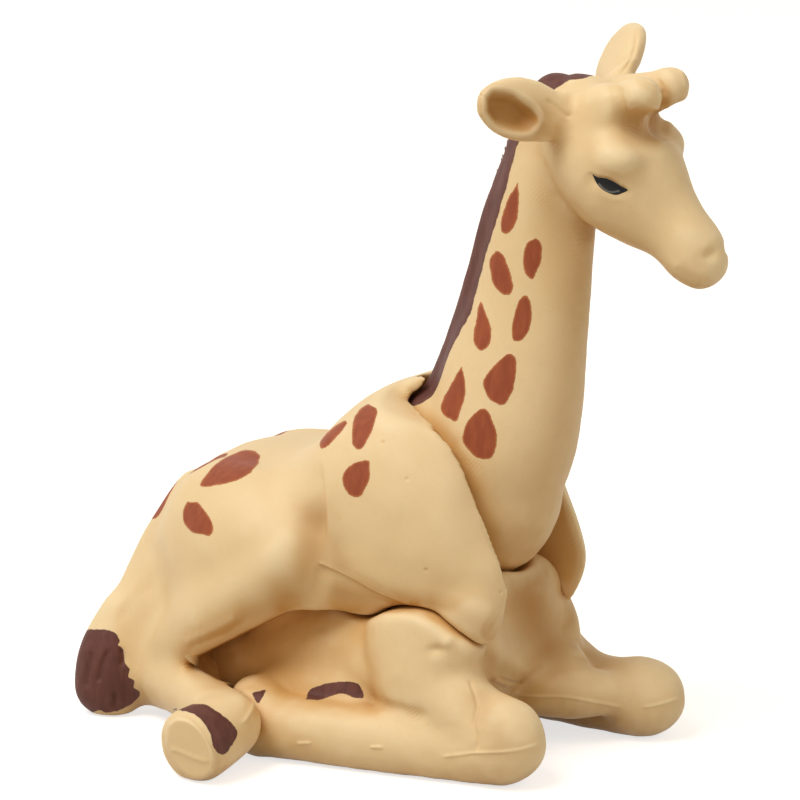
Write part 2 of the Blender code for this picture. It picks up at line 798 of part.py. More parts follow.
def tucked_foot():
    """The left hind foot, which comes out from under the belly on the right side."""
    start = torso_point(-0.62, 0.17, 0.13)
    middle = torso_point(-0.36, -0.18, 0.135)
    toe = torso_point(-0.19, -0.345, 0.135)
    half = METATARSUS_THICKNESS / 2
    foot = loft([
        (*start, half, half * 1.35),
        (*middle, half, half * 1.35),
        (*toe, half * 1.05, half * 1.3),
    ], caps=(1.0, 0.35), squareness=0.85)
    beside_cannon = Vector((
        RIGHT_KNEE_REACH - CANNON_LENGTH * 0.92, -KNEE_SPREAD * 0.5, CANNON_THICKNESS * 0.42,
    ))
    web = ellipsoid(
        beside_cannon, (CANNON_THICKNESS * 0.80, CANNON_THICKNESS * 0.65, CANNON_THICKNESS * 0.44),
    )
    return [foot, web]


def belly():
    """The underside between the legs, up to the seam, with the breast in front."""
    return [loft(
        [
            (along * TORSO_LENGTH, 0, middle * SEAM_HEIGHT, width * TORSO_WIDTH, height * SEAM_HEIGHT)
            for along, middle, width, height in BELLY_SHARES
        ],
        facing=(1, 0, 0),
        squareness=0.8,
        caps=(0.6, 0.3),
    )]


def make_leg_unit():
    forms = [
        *foreleg(
            -1, RIGHT_KNEE_REACH, RIGHT_SPLAY, 0, RIGHT_FOREARM_DEPTH, RIGHT_SHOULDER_LEAD,
            *RIGHT_LEG_SHARES,
        ),
        *foreleg(
            1, LEFT_KNEE_REACH, LEFT_SPLAY, LEFT_SAG, LEFT_FOREARM_DEPTH, LEFT_SHOULDER_LEAD,
            *LEFT_LEG_SHARES,
        ),
        *tucked_foot(),
        *belly(),
    ]
    return fuse("leg_unit", forms, smoothing=4)


def main():
    for obj in list(bpy.data.objects):
        bpy.data.objects.remove(obj)

    neck = neck_form()
    head = head_form(neck)
    lighten(neck, NECK_TRIANGLES)
    frame = head_frame()
    left_ear = ear_form(
        "left_ear",
        neck_point(1.22, 1.063) + Vector((0, HEAD_WIDTH * 0.36, 0)),
        neck_point(0.83, 1.175) + Vector((0, EAR_LENGTH * 1.19, 0)),
        (0.7, 0, -0.7),
    )
    right_ear = ear_form(
        "right_ear",
        neck_point(1.11, 1.025) - Vector((0, HEAD_WIDTH * 0.36, 0)),
        neck_point(0.69, 1.085) + Vector((0, -EAR_LENGTH * 1.07, 0)),
        (0.8, -0.5, 0.2),
    )
    upper = make_upper_body()
    legs = make_leg_unit()

    lighten(upper, UPPER_TRIANGLES)
    lighten(legs, LEG_TRIANGLES)
    room = swept(neck)
    cut_by(upper, under_seam())
    cut_by(upper, shank_wedge())
    cut_by(upper, foot_hollow())
    cut_by(upper, flap_slope())
    cut_by(upper, seat_well())
    cut_by(upper, front_slot())
    cut_by(upper, breast_slot())
    boolean(upper, duplicate(room, "upper_room"), "DIFFERENCE")
    boolean(legs, duplicate(room, "leg_room"), "DIFFERENCE")
    for hand in (-1, 1):
        cut_by(legs, over_seam(hand))
    bpy.data.objects.remove(room)
    boolean(legs, grown(upper, "seam_room", FIT_GAP, CUTTER_TRIANGLES * 2), "DIFFERENCE")
    sit_flat(upper)
    sit_flat(legs)

    lighten(head, HEAD_TRIANGLES)
    boolean(neck, grown(head, "head_room", FIT_GAP), "DIFFERENCE")
    for ear in (left_ear, right_ear):
        boolean(head, grown(ear, "ear_room", FIT_GAP), "DIFFERENCE")

    for hand in (-1, 1):
        foot = torso_point(-0.19, hand * 0.17, 0) + Vector((0, 0, SEAM_HEIGHT))
        peg(legs, upper, foot, Vector((0, 0, 1)))
    split = neck_point(*SPLIT_LOW_SHARES).lerp(neck_point(*SPLIT_HIGH_SHARES), 0.6)
    along = (neck_point(1, 1) - neck_point(0.81, 0.829)).normalized()
    peg(neck, head, split, along)

    pin_half = Vector((0, PIN_LENGTH / 2, 0))
    pin_at = neck_point(0, 0)
    wider = pin_half * (1 + 2 * TURN_GAP / PIN_LENGTH)
    for bored in (neck, upper):
        cut_by(bored, rod(pin_at - wider, pin_at + wider, PIN_DIAMETER + 2 * RUN_GAP))
    pin = add_object("neck_pin", rod(pin_at - pin_half, pin_at + pin_half, PIN_DIAMETER))

    cream = (0.80, 0.62, 0.36)
    for obj in (upper, legs, neck, head, left_ear, right_ear):
        finish(obj, cream, 0.55)
    finish(pin, (0.75, 0.75, 0.72), 0.4)

    pieces = (upper, legs, neck, head, left_ear, right_ear, pin)
    corners = [vert.co for obj in pieces for vert in obj.data.vertices]
    low = Vector([min(corner[axis] for corner in corners) for axis in range(3)])
    high = Vector([max(corner[axis] for corner in corners) for axis in range(3)])
    shift = Vector((-(low.x + high.x) / 2, -(low.y + high.y) / 2, -low.z))
    for obj in pieces:
        obj.data.transform(Matrix.Translation(shift))

    pivot = bpy.data.objects.new("neck_pivot", None)
    pivot.location = pin_at + shift
    bpy.context.scene.collection.objects.link(pivot)
    bpy.context.view_layer.update()
    for obj in (neck, head, left_ear, right_ear, pin):
        obj.parent = pivot
        obj.matrix_parent_inverse = pivot.matrix_world.inverted()
    return shift


SHIFT = main()
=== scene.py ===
# %% [markdown]
# # A painted toy giraffe calf, lying down
#
# The real thing is a small figure of soft matte plastic. It was moulded in a few pieces, and
# then the spots, the mane, the hoofs and the eyes were brushed on by hand.
# The imported model gives every solid its size and place. This file gives each solid its skin:
# a fine copy of it that is carved like clay, and a procedural paint.
# It starts by reading the imported model.

import math

import bpy
import numpy as np
from mathutils import Matrix, Vector, noise
from mathutils.bvhtree import BVHTree


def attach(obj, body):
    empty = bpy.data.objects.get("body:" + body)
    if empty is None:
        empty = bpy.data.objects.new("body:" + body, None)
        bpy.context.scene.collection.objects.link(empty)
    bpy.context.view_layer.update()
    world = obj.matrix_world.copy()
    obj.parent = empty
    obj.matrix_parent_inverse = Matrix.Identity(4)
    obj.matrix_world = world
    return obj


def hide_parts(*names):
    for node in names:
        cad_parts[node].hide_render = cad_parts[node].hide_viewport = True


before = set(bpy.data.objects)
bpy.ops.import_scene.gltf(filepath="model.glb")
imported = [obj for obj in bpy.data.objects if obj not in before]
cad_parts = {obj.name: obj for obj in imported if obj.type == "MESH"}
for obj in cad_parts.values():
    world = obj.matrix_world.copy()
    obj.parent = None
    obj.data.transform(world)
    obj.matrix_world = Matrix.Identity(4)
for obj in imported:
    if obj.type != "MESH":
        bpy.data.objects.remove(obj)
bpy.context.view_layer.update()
MM = 0.001

# %% [markdown]
# ## The camera
#
# The picture was taken with a long lens from the animal's right, a little in front and above.
# A narrow angle of view keeps the far legs nearly as large as the near ones, as they are there.
# The same numbers later tell which point of the skin lies behind a pixel of the picture, so
# the carving and the paint can be placed from the picture.

# %% The camera
YAW = math.radians(31)
TILT = math.radians(14)
VIEW_ANGLE = math.radians(8)
PICTURE_PIXELS = 800
HALF_PICTURE = PICTURE_PIXELS / 2
PICTURE_SPAN = 0.080
TARGET = Vector((-0.002472, 0.005588, 0.0342))
MIDDLE = TARGET.y

AHEAD = Vector((-math.sin(YAW) * math.cos(TILT), math.cos(YAW) * math.cos(TILT), -math.sin(TILT)))
RIGHT = Vector((math.cos(YAW), math.sin(YAW), 0))
UP = RIGHT.cross(AHEAD)
DISTANCE = PICTURE_SPAN / 2 / math.tan(VIEW_ANGLE / 2)
FOCAL_PIXELS = HALF_PICTURE / math.tan(VIEW_ANGLE / 2)

lens = bpy.data.cameras.new("picture_camera")
lens.sensor_width = 36
lens.lens = lens.sensor_width / 2 / math.tan(VIEW_ANGLE / 2)
lens.clip_start = 0.01
lens.clip_end = 20
camera = bpy.data.objects.new("picture_camera", lens)
bpy.context.scene.collection.objects.link(camera)
camera.matrix_world = Matrix.Translation(TARGET - AHEAD * DISTANCE) @ Matrix(
    (RIGHT, UP, -AHEAD)
).transposed().to_4x4()
bpy.context.scene.camera = camera
print("lens, mm:", round(lens.lens, 1), "distance, mm:", round(DISTANCE / MM, 1))

# %% [markdown]
# ## From a solid to a skin
#
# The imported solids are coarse: their facets would show. A sculptor would start from a
# smooth blank, and so do we. Copies of the solids are joined, grown a little so that narrow
# glue gaps close, and rebuilt by a voxel remesh into small even faces, which can be pushed
# about like clay. Then they are shrunk back. The neck, the head and the ears become one skin,
# because the real ones meet without a step.
# Where the real legs swell softly out of the belly and the breast, a few pressed balls are
# laid into the blank before it is rebuilt, as a sculptor lays on pellets of clay.

# %% Make the blanks
# Each skin's solids, body and finish, then the voxel size and how far the blank is grown
# before the remesh and shrunk after it, in millimetres.
NECK_NODES = ("neck", "head", "right_ear", "left_ear")
PIECES = {
    "skin_body": (("upper_body",), "body", "body_plastic", 0.305, 0.12, 0.04),
    "skin_legs": (("leg_unit",), "body", "body_plastic", 0.25, 0.12, 0.04),
    "skin_neck": (NECK_NODES, "neck", "neck_plastic", 0.255, 0.20, 0.14),
}


def take_up(piece):
    """Selects one piece alone, as the operators expect."""
    bpy.ops.object.select_all(action="DESELECT")
    piece.select_set(True)
    bpy.context.view_layer.objects.active = piece


def apply_modifier(piece, kind, **settings):
    take_up(piece)
    made = piece.modifiers.new(kind.lower(), kind)
    for name, value in settings.items():
        setattr(made, name, value)
    bpy.ops.object.modifier_apply(modifier=made.name)


# Two ends, half the thickness and half the height of each pellet, in millimetres.
LUMPS = {
    "skin_legs": (
        ((-16.0, -2.4, 4.6), (2.5, -5.0, 6.2), 2.7, 3.6),
        ((-25.0, 1.0, 5.0), (-10.0, -2.8, 6.2), 3.0, 4.2),
        ((-23.5, 11.2, 5.6), (-11.0, 13.8, 6.4), 2.2, 3.4),
        ((-4.5, -3.0, 9.6), (6.0, -4.6, 9.2), 2.6, 3.6),
        ((-15.8, -1.5, 10.0), (-8.6, -1.9, 14.5), 1.3, 1.3),
        ((10.6, 13.6, 15.0), (12.0, 14.6, 6.5), 2.0, 2.0),
        ((8.0, 5.8, 5.6), (20.0, 14.2, 4.8), 2.5, 2.7),
        ((9.0, 9.6, 8.6), (15.2, 13.2, 7.4), 1.9, 2.1),
    ),
}


def lump(start, end, thick, high):
    """A ball of clay stretched from start to end, all in millimetres."""
    start, end = Vector(start) * MM, Vector(end) * MM
    along = (end - start).normalized()
    across = Vector((0, 0, 1)).cross(along).normalized()
    up = along.cross(across)
    bpy.ops.mesh.primitive_uv_sphere_add(segments=48, ring_count=24, radius=1)
    ball = bpy.context.object
    sizes = Matrix.Diagonal(((end - start).length / 2, thick * MM, high * MM, 1))
    turn = Matrix((along, across, up)).transposed().to_4x4()
    ball.data.transform(Matrix.Translation((start + end) / 2) @ turn @ sizes)
    return ball


def blank(nodes, name, grain, grow, shrink):
    copies = []
    for node in nodes:
        copy = bpy.data.objects.new(name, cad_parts[node].data.copy())
        bpy.context.scene.collection.objects.link(copy)
        copy.data.materials.clear()
        take_up(copy)
        bpy.ops.object.mode_set(mode="EDIT")
        bpy.ops.mesh.select_all(action="SELECT")
        bpy.ops.mesh.remove_doubles(threshold=1e-6)
        bpy.ops.object.mode_set(mode="OBJECT")
        copies.append(copy)
    copies += [lump(*sizes) for sizes in LUMPS.get(name, ())]
    take_up(copies[0])
    for copy in copies:
        copy.select_set(True)
    if len(copies) > 1:
        bpy.ops.object.join()
    piece = copies[0]
    piece.name = name
    apply_modifier(piece, "DISPLACE", mid_level=0, strength=grow * MM)
    apply_modifier(piece, "REMESH", mode="VOXEL", voxel_size=grain * MM)
    apply_modifier(piece, "DISPLACE", mid_level=0, strength=-shrink * MM)
    return piece


skins = {}
for name, (nodes, body, finish, grain, grow, shrink) in PIECES.items():
    skins[name] = blank(nodes, name, grain, grow, shrink)
    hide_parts(*nodes)
    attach(skins[name], body)
    print(name, len(skins[name].data.polygons), "faces")
body_skin, leg_skin, neck_skin = skins.values()

# %% [markdown]
# ## The clay tools
#
# Sculpting by hand means pushing the points of the mesh in or out under a brush. Here each
# brush is a short function on arrays of points, which gives the same result at every run.
# `even` pulls each point towards its neighbours' mean, which takes the facets out. The cut
# edges, where the skin bends sharply, are held back so that they stay crisp.

# %% Points, normals and an even skin
PULL = 0.5
PLAIN_BEND = 0.035
BEND_SPAN = 0.07


def points_of(piece):
    found = np.empty(len(piece.data.vertices) * 3)
    piece.data.vertices.foreach_get("co", found)
    return found.reshape(-1, 3)


def normals_of(piece):
    found = np.empty(len(piece.data.vertices) * 3, np.float32)
    piece.data.vertex_normals.foreach_get("vector", found)
    return found.reshape(-1, 3).astype(float)


def set_points(piece, points):
    points[:, 2] = np.maximum(points[:, 2], 0)
    piece.data.vertices.foreach_set("co", np.ascontiguousarray(points).reshape(-1))
    piece.data.update()


def neighbour_mean(piece):
    """A function that gives each point the mean of its neighbours' values."""
    ends = np.empty(len(piece.data.edges) * 2, np.int64)
    piece.data.edges.foreach_get("vertices", ends)
    ends = ends.reshape(-1, 2)
    here = np.concatenate([ends[:, 0], ends[:, 1]])
    there = np.concatenate([ends[:, 1], ends[:, 0]])
    size = len(piece.data.vertices)
    count = np.maximum(np.bincount(here, minlength=size), 1)

    def mean(values):
        columns = values.reshape(size, -1)
        sums = [np.bincount(here, weights=c[there], minlength=size) for c in columns.T]
        return (np.stack(sums, axis=1) / count[:, None]).reshape(values.shape)

    return mean


def bend_of(piece):
    """Nought where the skin is plain, and up to one on a sharp edge."""
    mean = neighbour_mean(piece)
    flat = np.linalg.norm(mean(mean(normals_of(piece))), axis=1)
    return mean(mean(np.clip((1 - flat - PLAIN_BEND) / BEND_SPAN, 0, 1)))


def even(piece, rounds, held=0.0):
    mean = neighbour_mean(piece)
    points = points_of(piece)
    give = PULL * (1 - held * bend_of(piece))[:, None]
    for _ in range(rounds):
        points = points + give * (mean(points) - points)
    set_points(piece, points)


for piece in skins.values():
    even(piece, 3)
    even(piece, 26, held=0.97)
    even(piece, 2)
print("the skins are even")

# %% [markdown]
# ## Working from the picture
#
# `sight` says for each point of a skin where the camera sees it, in pixels, and how squarely
# it faces the camera. A coarse grid of depths drops the points that hide behind others.
# For the unseen flank the points are mirrored through the animal's middle first, so one set
# of marks serves both sides.

# %% Where the camera sees each point
GRID_PIXELS = 3
HIDDEN_BEYOND = 2.5 * MM
FULL_FACING = 0.25
FINE, WIDE = 5, 16


def sight(piece, side="near", soft=0):
    points = points_of(piece)
    normals = normals_of(piece)
    if side == "far":
        points[:, 1] = 2 * MIDDLE - points[:, 1]
        normals[:, 1] *= -1
    away = points - np.array(TARGET)
    ahead = away @ np.array(AHEAD)
    scale = FOCAL_PIXELS / (DISTANCE + ahead)
    px = HALF_PICTURE + away @ np.array(RIGHT) * scale
    py = HALF_PICTURE - away @ np.array(UP) * scale
    facing = -(normals @ np.array(AHEAD))
    wide = int(PICTURE_PIXELS / GRID_PIXELS) + 2
    column = np.clip(px / GRID_PIXELS + 1, 0, wide - 1).astype(int)
    row = np.clip(py / GRID_PIXELS + 1, 0, wide - 1).astype(int)
    nearest = np.full((wide, wide), np.inf)
    np.minimum.at(nearest, (row, column), ahead)
    behind = ahead - nearest[row, column]
    shown = np.clip(facing / FULL_FACING, 0, 1) * (behind < HIDDEN_BEYOND)
    if side == "far":
        shown = shown * (points[:, 1] < MIDDLE)
    mean = neighbour_mean(piece)
    for _ in range(soft):
        shown = mean(shown)
    return px, py, shown, facing, behind


def smooth_trail(trail, steps=6):
    """More points along a smooth curve through the marks of a trail."""
    marks = [Vector(p) for p in trail]
    marks = [2 * marks[0] - marks[1]] + marks + [2 * marks[-1] - marks[-2]]
    curve = []
    for a, b, c, d in zip(marks, marks[1:], marks[2:], marks[3:]):
        for step in range(steps):
            t = step / steps
            curve.append(
                0.5 * (2 * b + (c - a) * t + (2 * a - 5 * b + 4 * c - d) * t**2
                       + (3 * b - a - 3 * c + d) * t**3)
            )
    return curve + [marks[-2]]


def nearest_on(px, py, trail):
    """The distance to a trail, in pixels, less than nought on its left as one walks along it,
    and how far from the trail's nearer end its nearest point lies."""
    best = np.full(len(px), np.inf)
    signed = np.full(len(px), np.inf)
    along = np.zeros(len(px))
    walked = 0
    for a, b in zip(trail, trail[1:]):
        dx, dy = b[0] - a[0], b[1] - a[1]
        length = math.hypot(dx, dy)
        t = np.clip(((px - a[0]) * dx + (py - a[1]) * dy) / length**2, 0, 1)
        off_x, off_y = px - a[0] - t * dx, py - a[1] - t * dy
        distance = np.hypot(off_x, off_y)
        closer = distance < best
        turn = np.sign(dx * off_y - dy * off_x)
        signed[closer] = (distance * turn)[closer]
        along[closer] = (walked + t * length)[closer]
        best[closer] = distance[closer]
        walked += length
    return signed, np.minimum(along, walked - along)


def trail_distance(px, py, trail):
    return nearest_on(px, py, trail)[0]


def outline_depth(px, py, outline):
    """How far inside a closed outline a point lies, in pixels, less than nought outside."""
    inside = np.zeros(len(px), bool)
    for a, b in zip(outline, outline[1:] + outline[:1]):
        crosses = (a[1] > py) != (b[1] > py)
        reach = a[0] + (py - a[1]) * (b[0] - a[0]) / (b[1] - a[1] + 1e-9)
        inside ^= crosses & (px < reach)
    distance = np.abs(trail_distance(px, py, list(outline) + [outline[0]]))
    return np.where(inside, distance, -distance)


print("the target is seen at pixel", HALF_PICTURE, HALF_PICTURE)

# %% [markdown]
# ## The brushes
#
# `press` draws a groove, or a raised line when its depth is below nought. `step_up` lifts the
# skin on one side of a trail and lets the lift fade away, which is how a fold of skin looks.
# `swell` raises or sinks a soft round patch, and `hollow_out` sinks an outlined one.
# `flatten` trims an outlined patch to a plane. `recede` leans the skin away from the camera
# towards a trail, which rounds an edge and leaves its outline where it is. `trim` draws a
# ragged bit down to a line. `iron` rubs a patch smooth, `squeeze` draws the skin towards a
# trail, and `roughen` gives it the faint unevenness of a cast. `refine` halves the faces near
# a trail, so that they can take a fine line. Sizes across the skin are in pixels of the
# picture, a tenth of a millimetre each, and depths are in millimetres.

# %% The brushes
SIDES = ("near", "far")
PIXEL = 0.1
LIMB = 6


def fade(values):
    """A soft start and a soft end between nought and one."""
    kept = np.clip(values, 0, 1)
    return kept * kept * (3 - 2 * kept)


def shift(piece, amount):
    """Moves each point out along its normal by so many millimetres."""
    set_points(piece, points_of(piece) + normals_of(piece) * (amount * MM)[:, None])


def press(piece, trail, width, depth, sides=("near",), taper=8):
    curve = smooth_trail(trail)
    for side in sides:
        px, py, shown, *_ = sight(piece, side, FINE)
        away, along = nearest_on(px, py, curve)
        amount = np.exp(-((away / width) ** 2)) * fade(along / taper)
        shift(piece, -amount * shown * depth)


def step_up(piece, trail, reach, height, sides=("near",), taper=10, edge=1.5):
    curve = smooth_trail(trail)
    for side in sides:
        px, py, shown, *_ = sight(piece, side, FINE)
        away, along = nearest_on(px, py, curve)
        rise = 1 / (1 + np.exp(-np.clip(away / edge, -30, 30)))
        amount = rise * np.exp(-np.abs(away) / reach) * fade(along / taper)
        shift(piece, amount * shown * height)


def swell(piece, centre, size, height, sides=("near",), turn=0):
    for side in sides:
        px, py, shown, *_ = sight(piece, side, WIDE if min(size) > WIDE else FINE)
        angle = math.radians(turn)
        along = (px - centre[0]) * math.cos(angle) + (py - centre[1]) * math.sin(angle)
        across = (py - centre[1]) * math.cos(angle) - (px - centre[0]) * math.sin(angle)
        amount = np.exp(-((along / size[0]) ** 2) - (across / size[1]) ** 2)
        shift(piece, amount * shown * height)


def hollow_out(piece, outline, depth, blend, sides=("near",)):
    for side in sides:
        px, py, shown, *_ = sight(piece, side, FINE)
        amount = fade(outline_depth(px, py, smooth_trail(outline + outline[:1])) / blend)
        shift(piece, -depth * shown * amount)


def flatten(piece, outline, blend, sides=("near",)):
    for side in sides:
        px, py, shown, *_ = sight(piece, side)
        depth = outline_depth(px, py, outline)
        inside = (depth > 0) & (shown > 0)
        points = points_of(piece)
        middle = points[inside].mean(axis=0)
        normal = np.linalg.svd(points[inside] - middle, full_matrices=False)[2][2]
        amount = np.clip(depth / blend, 0, 1) * (shown > 0)
        height = (points - middle) @ normal
        set_points(piece, points - normal * (height * amount)[:, None])


def recede(piece, trail, reach, depth, beyond=12, sides=("near",), taper=30):
    curve = smooth_trail(trail)
    mean = neighbour_mean(piece)
    for side in sides:
        px, py, _, _, behind = sight(piece, side)
        front = (behind < LIMB * MM).astype(float)
        for _ in range(WIDE):
            front = mean(front)
        away, along = nearest_on(px, py, curve)
        near_it = np.clip(1 - np.where(away > 0, away / reach, -away / beyond), 0, 1) ** 2
        amount = near_it * front * fade(along / taper) * depth * MM
        back = np.array(AHEAD) * ((1, 1, 1) if side == "near" else (1, -1, 1))
        set_points(piece, points_of(piece) + amount[:, None] * back)


def trim(piece, outline, trail):
    """Draws all that lies inside an outline down to a trail that runs from left to right."""
    px, py, *_ = sight(piece)
    inside = outline_depth(px, py, outline) > 0
    line = np.interp(px, [mark[0] for mark in trail], [mark[1] for mark in trail])
    drop = np.where(inside, np.maximum(line - py, 0), 0) * PIXEL * MM
    set_points(piece, points_of(piece) - drop[:, None] * np.array(UP))


def iron(piece, centre, size, rounds, sides=("near",)):
    mean = neighbour_mean(piece)
    for side in sides:
        px, py, shown, *_ = sight(piece, side, FINE)
        give = np.exp(-(((px - centre[0]) / size[0]) ** 2) - ((py - centre[1]) / size[1]) ** 2)
        give = (give * np.clip(shown * 3, 0, 1))[:, None]
        points = points_of(piece)
        for _ in range(rounds):
            points = points + give * (mean(points) - points)
        set_points(piece, points)


def squeeze(piece, trail, reach, share, sides=("near",), taper=14):
    curve = smooth_trail(trail)
    for side in sides:
        px, py, *_ = sight(piece, side)
        away, along = nearest_on(px, py, curve)
        near_it = np.clip(2 - np.abs(away) / reach, 0, 1) * fade(along / taper)
        points = points_of(piece)
        right_side = (points[:, 1] < MIDDLE) == (side == "near")
        amount = away * share * near_it * right_side * PIXEL * MM
        points += amount[:, None] * np.array(UP) * ((1, 1, 1) if side == "near" else (1, -1, 1))
        set_points(piece, points)


def roughen(piece, scale, height):
    rough = [noise.noise(Vector(point) / (scale * MM)) for point in points_of(piece)]
    shift(piece, np.array(rough) * height)


def refine(piece, trails, reach, sides=("near",)):
    chosen = np.zeros(len(piece.data.vertices), bool)
    for side in sides:
        px, py, shown, *_ = sight(piece, side)
        for trail in trails:
            away = np.abs(trail_distance(px, py, smooth_trail(trail)))
            chosen |= (away < reach) & (shown > 0)
    ends = np.empty(len(piece.data.edges) * 2, np.int64)
    piece.data.edges.foreach_get("vertices", ends)
    both = chosen[ends.reshape(-1, 2)].all(axis=1)
    corners = np.empty(len(piece.data.loops), np.int64)
    piece.data.loops.foreach_get("vertex_index", corners)
    starts = np.empty(len(piece.data.polygons), np.int64)
    piece.data.polygons.foreach_get("loop_start", starts)
    whole = np.logical_and.reduceat(chosen[corners], starts)
    take_up(piece)
    bpy.ops.object.mode_set(mode="EDIT")
    bpy.ops.mesh.select_mode(type="FACE")
    bpy.ops.mesh.select_all(action="DESELECT")
    bpy.ops.object.mode_set(mode="OBJECT")
    piece.data.vertices.foreach_set("select", chosen)
    piece.data.edges.foreach_set("select", both)
    piece.data.polygons.foreach_set("select", whole)
    bpy.ops.object.mode_set(mode="EDIT")
    bpy.ops.mesh.subdivide(number_cuts=1)
    bpy.ops.mesh.select_all(action="DESELECT")
    bpy.ops.object.mode_set(mode="OBJECT")
    print(piece.name, "refined to", len(piece.data.polygons), "faces")


# %% [markdown]
# ## Carving the body
#
# The thigh is first rounded away towards its lower and front edges. Then the body's folds are
# cut: the crease in front of the thigh, the fold of skin behind the elbow, the line where the
# tail lies on the thigh, and the parting line round the edge of the shoulder flap. Each was
# read from the picture as a few pixel marks.

# %% Folds of the body
FLANK_CREASE = [(319, 456), (322, 480), (323, 503), (324, 522), (321, 546)]
FLANK_VALLEY = [(306, 452), (309, 480), (311, 503), (312, 524), (312, 550)]
SKIN_FOLD = [(316, 561), (333, 567), (353, 577), (377, 590), (396, 598), (412, 604)]
TAIL_CREASE = [(147, 532), (152, 550), (155, 568), (152, 584), (136, 598), (123, 616),
               (118, 630)]
FLAP_LINE = [(480, 522), (492, 546), (501, 566), (505, 582), (505, 598), (499, 614), (488, 632)]
SHANK_EDGE = [(182, 646), (192, 638), (206, 632), (222, 624), (238, 614)]
HOOF_EDGE = [(243, 684), (251, 693), (253, 704), (248, 716), (240, 726)]
SOLE = [(166, 722), (178, 714), (192, 718), (203, 730), (211, 744), (218, 758), (216, 772),
        (204, 781), (190, 780), (174, 766), (164, 745)]
SOLE_RIDGE = [(167, 748), (182, 752), (198, 759), (211, 762)]
PINHOLES = [(383, 442), (407, 479), (426, 570), (501, 592)]

THIGH_LOWER = [(176, 655), (206, 652), (233, 640), (262, 624), (288, 608), (316, 598),
               (336, 594)]
THIGH_FRONT = [(318, 622), (321, 590), (323, 550), (323, 510), (322, 470)]
CANNON_TOP = [(178, 649), (190, 662), (205, 673), (220, 681), (240, 686), (251, 694),
              (258, 704)]
CANNON_SHELF = [(186, 656), (206, 659), (228, 663), (262, 664), (268, 700), (258, 706),
                *CANNON_TOP[-2:0:-1]]
TUFT_GROOVES = ([(109, 648), (104, 660), (100, 672), (99, 684)],
                [(119, 646), (123, 656), (122, 668)],
                [(92, 650), (88, 668), (86, 690)],
                [(112, 690), (116, 700), (112, 710)])
TUFT_RIB = [(84, 712), (98, 715), (114, 716), (130, 713), (146, 708)]
TAIL_ROOT = (152, 578)
SHANK_TOP = (232, 684)
KNEE_FRONT = (318, 560)
KNEE_FOLD = (312, 574)
THIGH_MIDDLE = (262, 520)

trim(body_skin, CANNON_SHELF, CANNON_TOP)
iron(body_skin, TAIL_ROOT, size=(26, 32), rounds=120)
iron(body_skin, SHANK_TOP, size=(30, 8), rounds=20)
iron(body_skin, KNEE_FRONT, size=(14, 22), rounds=80)
recede(body_skin, THIGH_LOWER, reach=60, depth=2.1, beyond=62, taper=60)
recede(body_skin, THIGH_FRONT, reach=8, depth=0.6, beyond=50, taper=75)
iron(body_skin, KNEE_FOLD, size=(24, 26), rounds=70)
swell(body_skin, THIGH_MIDDLE, size=(42, 60), height=0.45, sides=SIDES)
refine(body_skin, [FLANK_CREASE, SKIN_FOLD, FLAP_LINE, SHANK_EDGE, HOOF_EDGE, SOLE + SOLE[:1],
                   SOLE_RIDGE, *TUFT_GROOVES, TUFT_RIB]
       + [[(x - 1, y), (x + 1, y)] for x, y in PINHOLES], reach=9)
press(body_skin, FLANK_VALLEY, width=13, depth=0.16, sides=SIDES, taper=40)
step_up(body_skin, FLANK_CREASE, reach=20, height=-0.42, sides=SIDES, taper=24, edge=1.6)
press(body_skin, FLANK_CREASE, width=1.8, depth=0.06, sides=SIDES, taper=16)
step_up(body_skin, SKIN_FOLD, reach=14, height=-0.34, sides=SIDES)
press(body_skin, SKIN_FOLD, width=1.9, depth=-0.24, sides=SIDES)
press(body_skin, TAIL_CREASE, width=7, depth=0.14, taper=20)
press(body_skin, FLAP_LINE, width=1.5, depth=0.10)
press(body_skin, SHANK_EDGE, width=4, depth=-0.12)
press(body_skin, HOOF_EDGE, width=2.2, depth=-0.16)
flatten(body_skin, SOLE, blend=5)
press(body_skin, SOLE + SOLE[:1], width=2.0, depth=0.12, taper=0.1)
press(body_skin, SOLE_RIDGE, width=2.5, depth=-0.10)
for groove in TUFT_GROOVES:
    press(body_skin, groove, width=2.8, depth=0.30, taper=6)
press(body_skin, TUFT_RIB, width=3, depth=-0.15)
for hole in PINHOLES:
    swell(body_skin, hole, size=(1.3, 1.3), height=-0.22)
roughen(body_skin, scale=3.0, height=0.08)
print("folds carved on", body_skin.name)

# %% [markdown]
# ## Carving the legs
#
# The leg unit carries the belly and the two folded forelegs. Its mould left thin raised
# parting lines along the shins, and there is a groove beside the near knee.

# %% Lines of the legs
SHIN_LINE = [(440, 757), (456, 755), (474, 753), (500, 752), (522, 749), (540, 743)]
SHIN_DASHES = ([(296, 743), (312, 743)], [(369, 747), (384, 747)])
KNEE_GROOVE = [(468, 678), (474, 692), (477, 706), (474, 723), (477, 740), (476, 753)]
FAR_SHIN_LINE = [(513, 694), (537, 696), (566, 697), (596, 702), (623, 707)]
FAR_KNEE_LINE = [(640, 708), (660, 704), (681, 697)]
SHIN_CREASE = [(362, 702), (383, 706), (406, 711), (431, 720)]
CRINKLES = ([(486, 679), (496, 684), (506, 689)], [(497, 677), (510, 682), (524, 684)])
ELBOW_HOLLOW = (436, 650)
ELBOW_KNOB = (447, 642)
ELBOW_LINE = [(425, 652), (452, 645)]
BREAST_MIDDLE = (528, 622)
BREAST_SIDE = (545, 640)
BREAST_TOP = (545, 610)

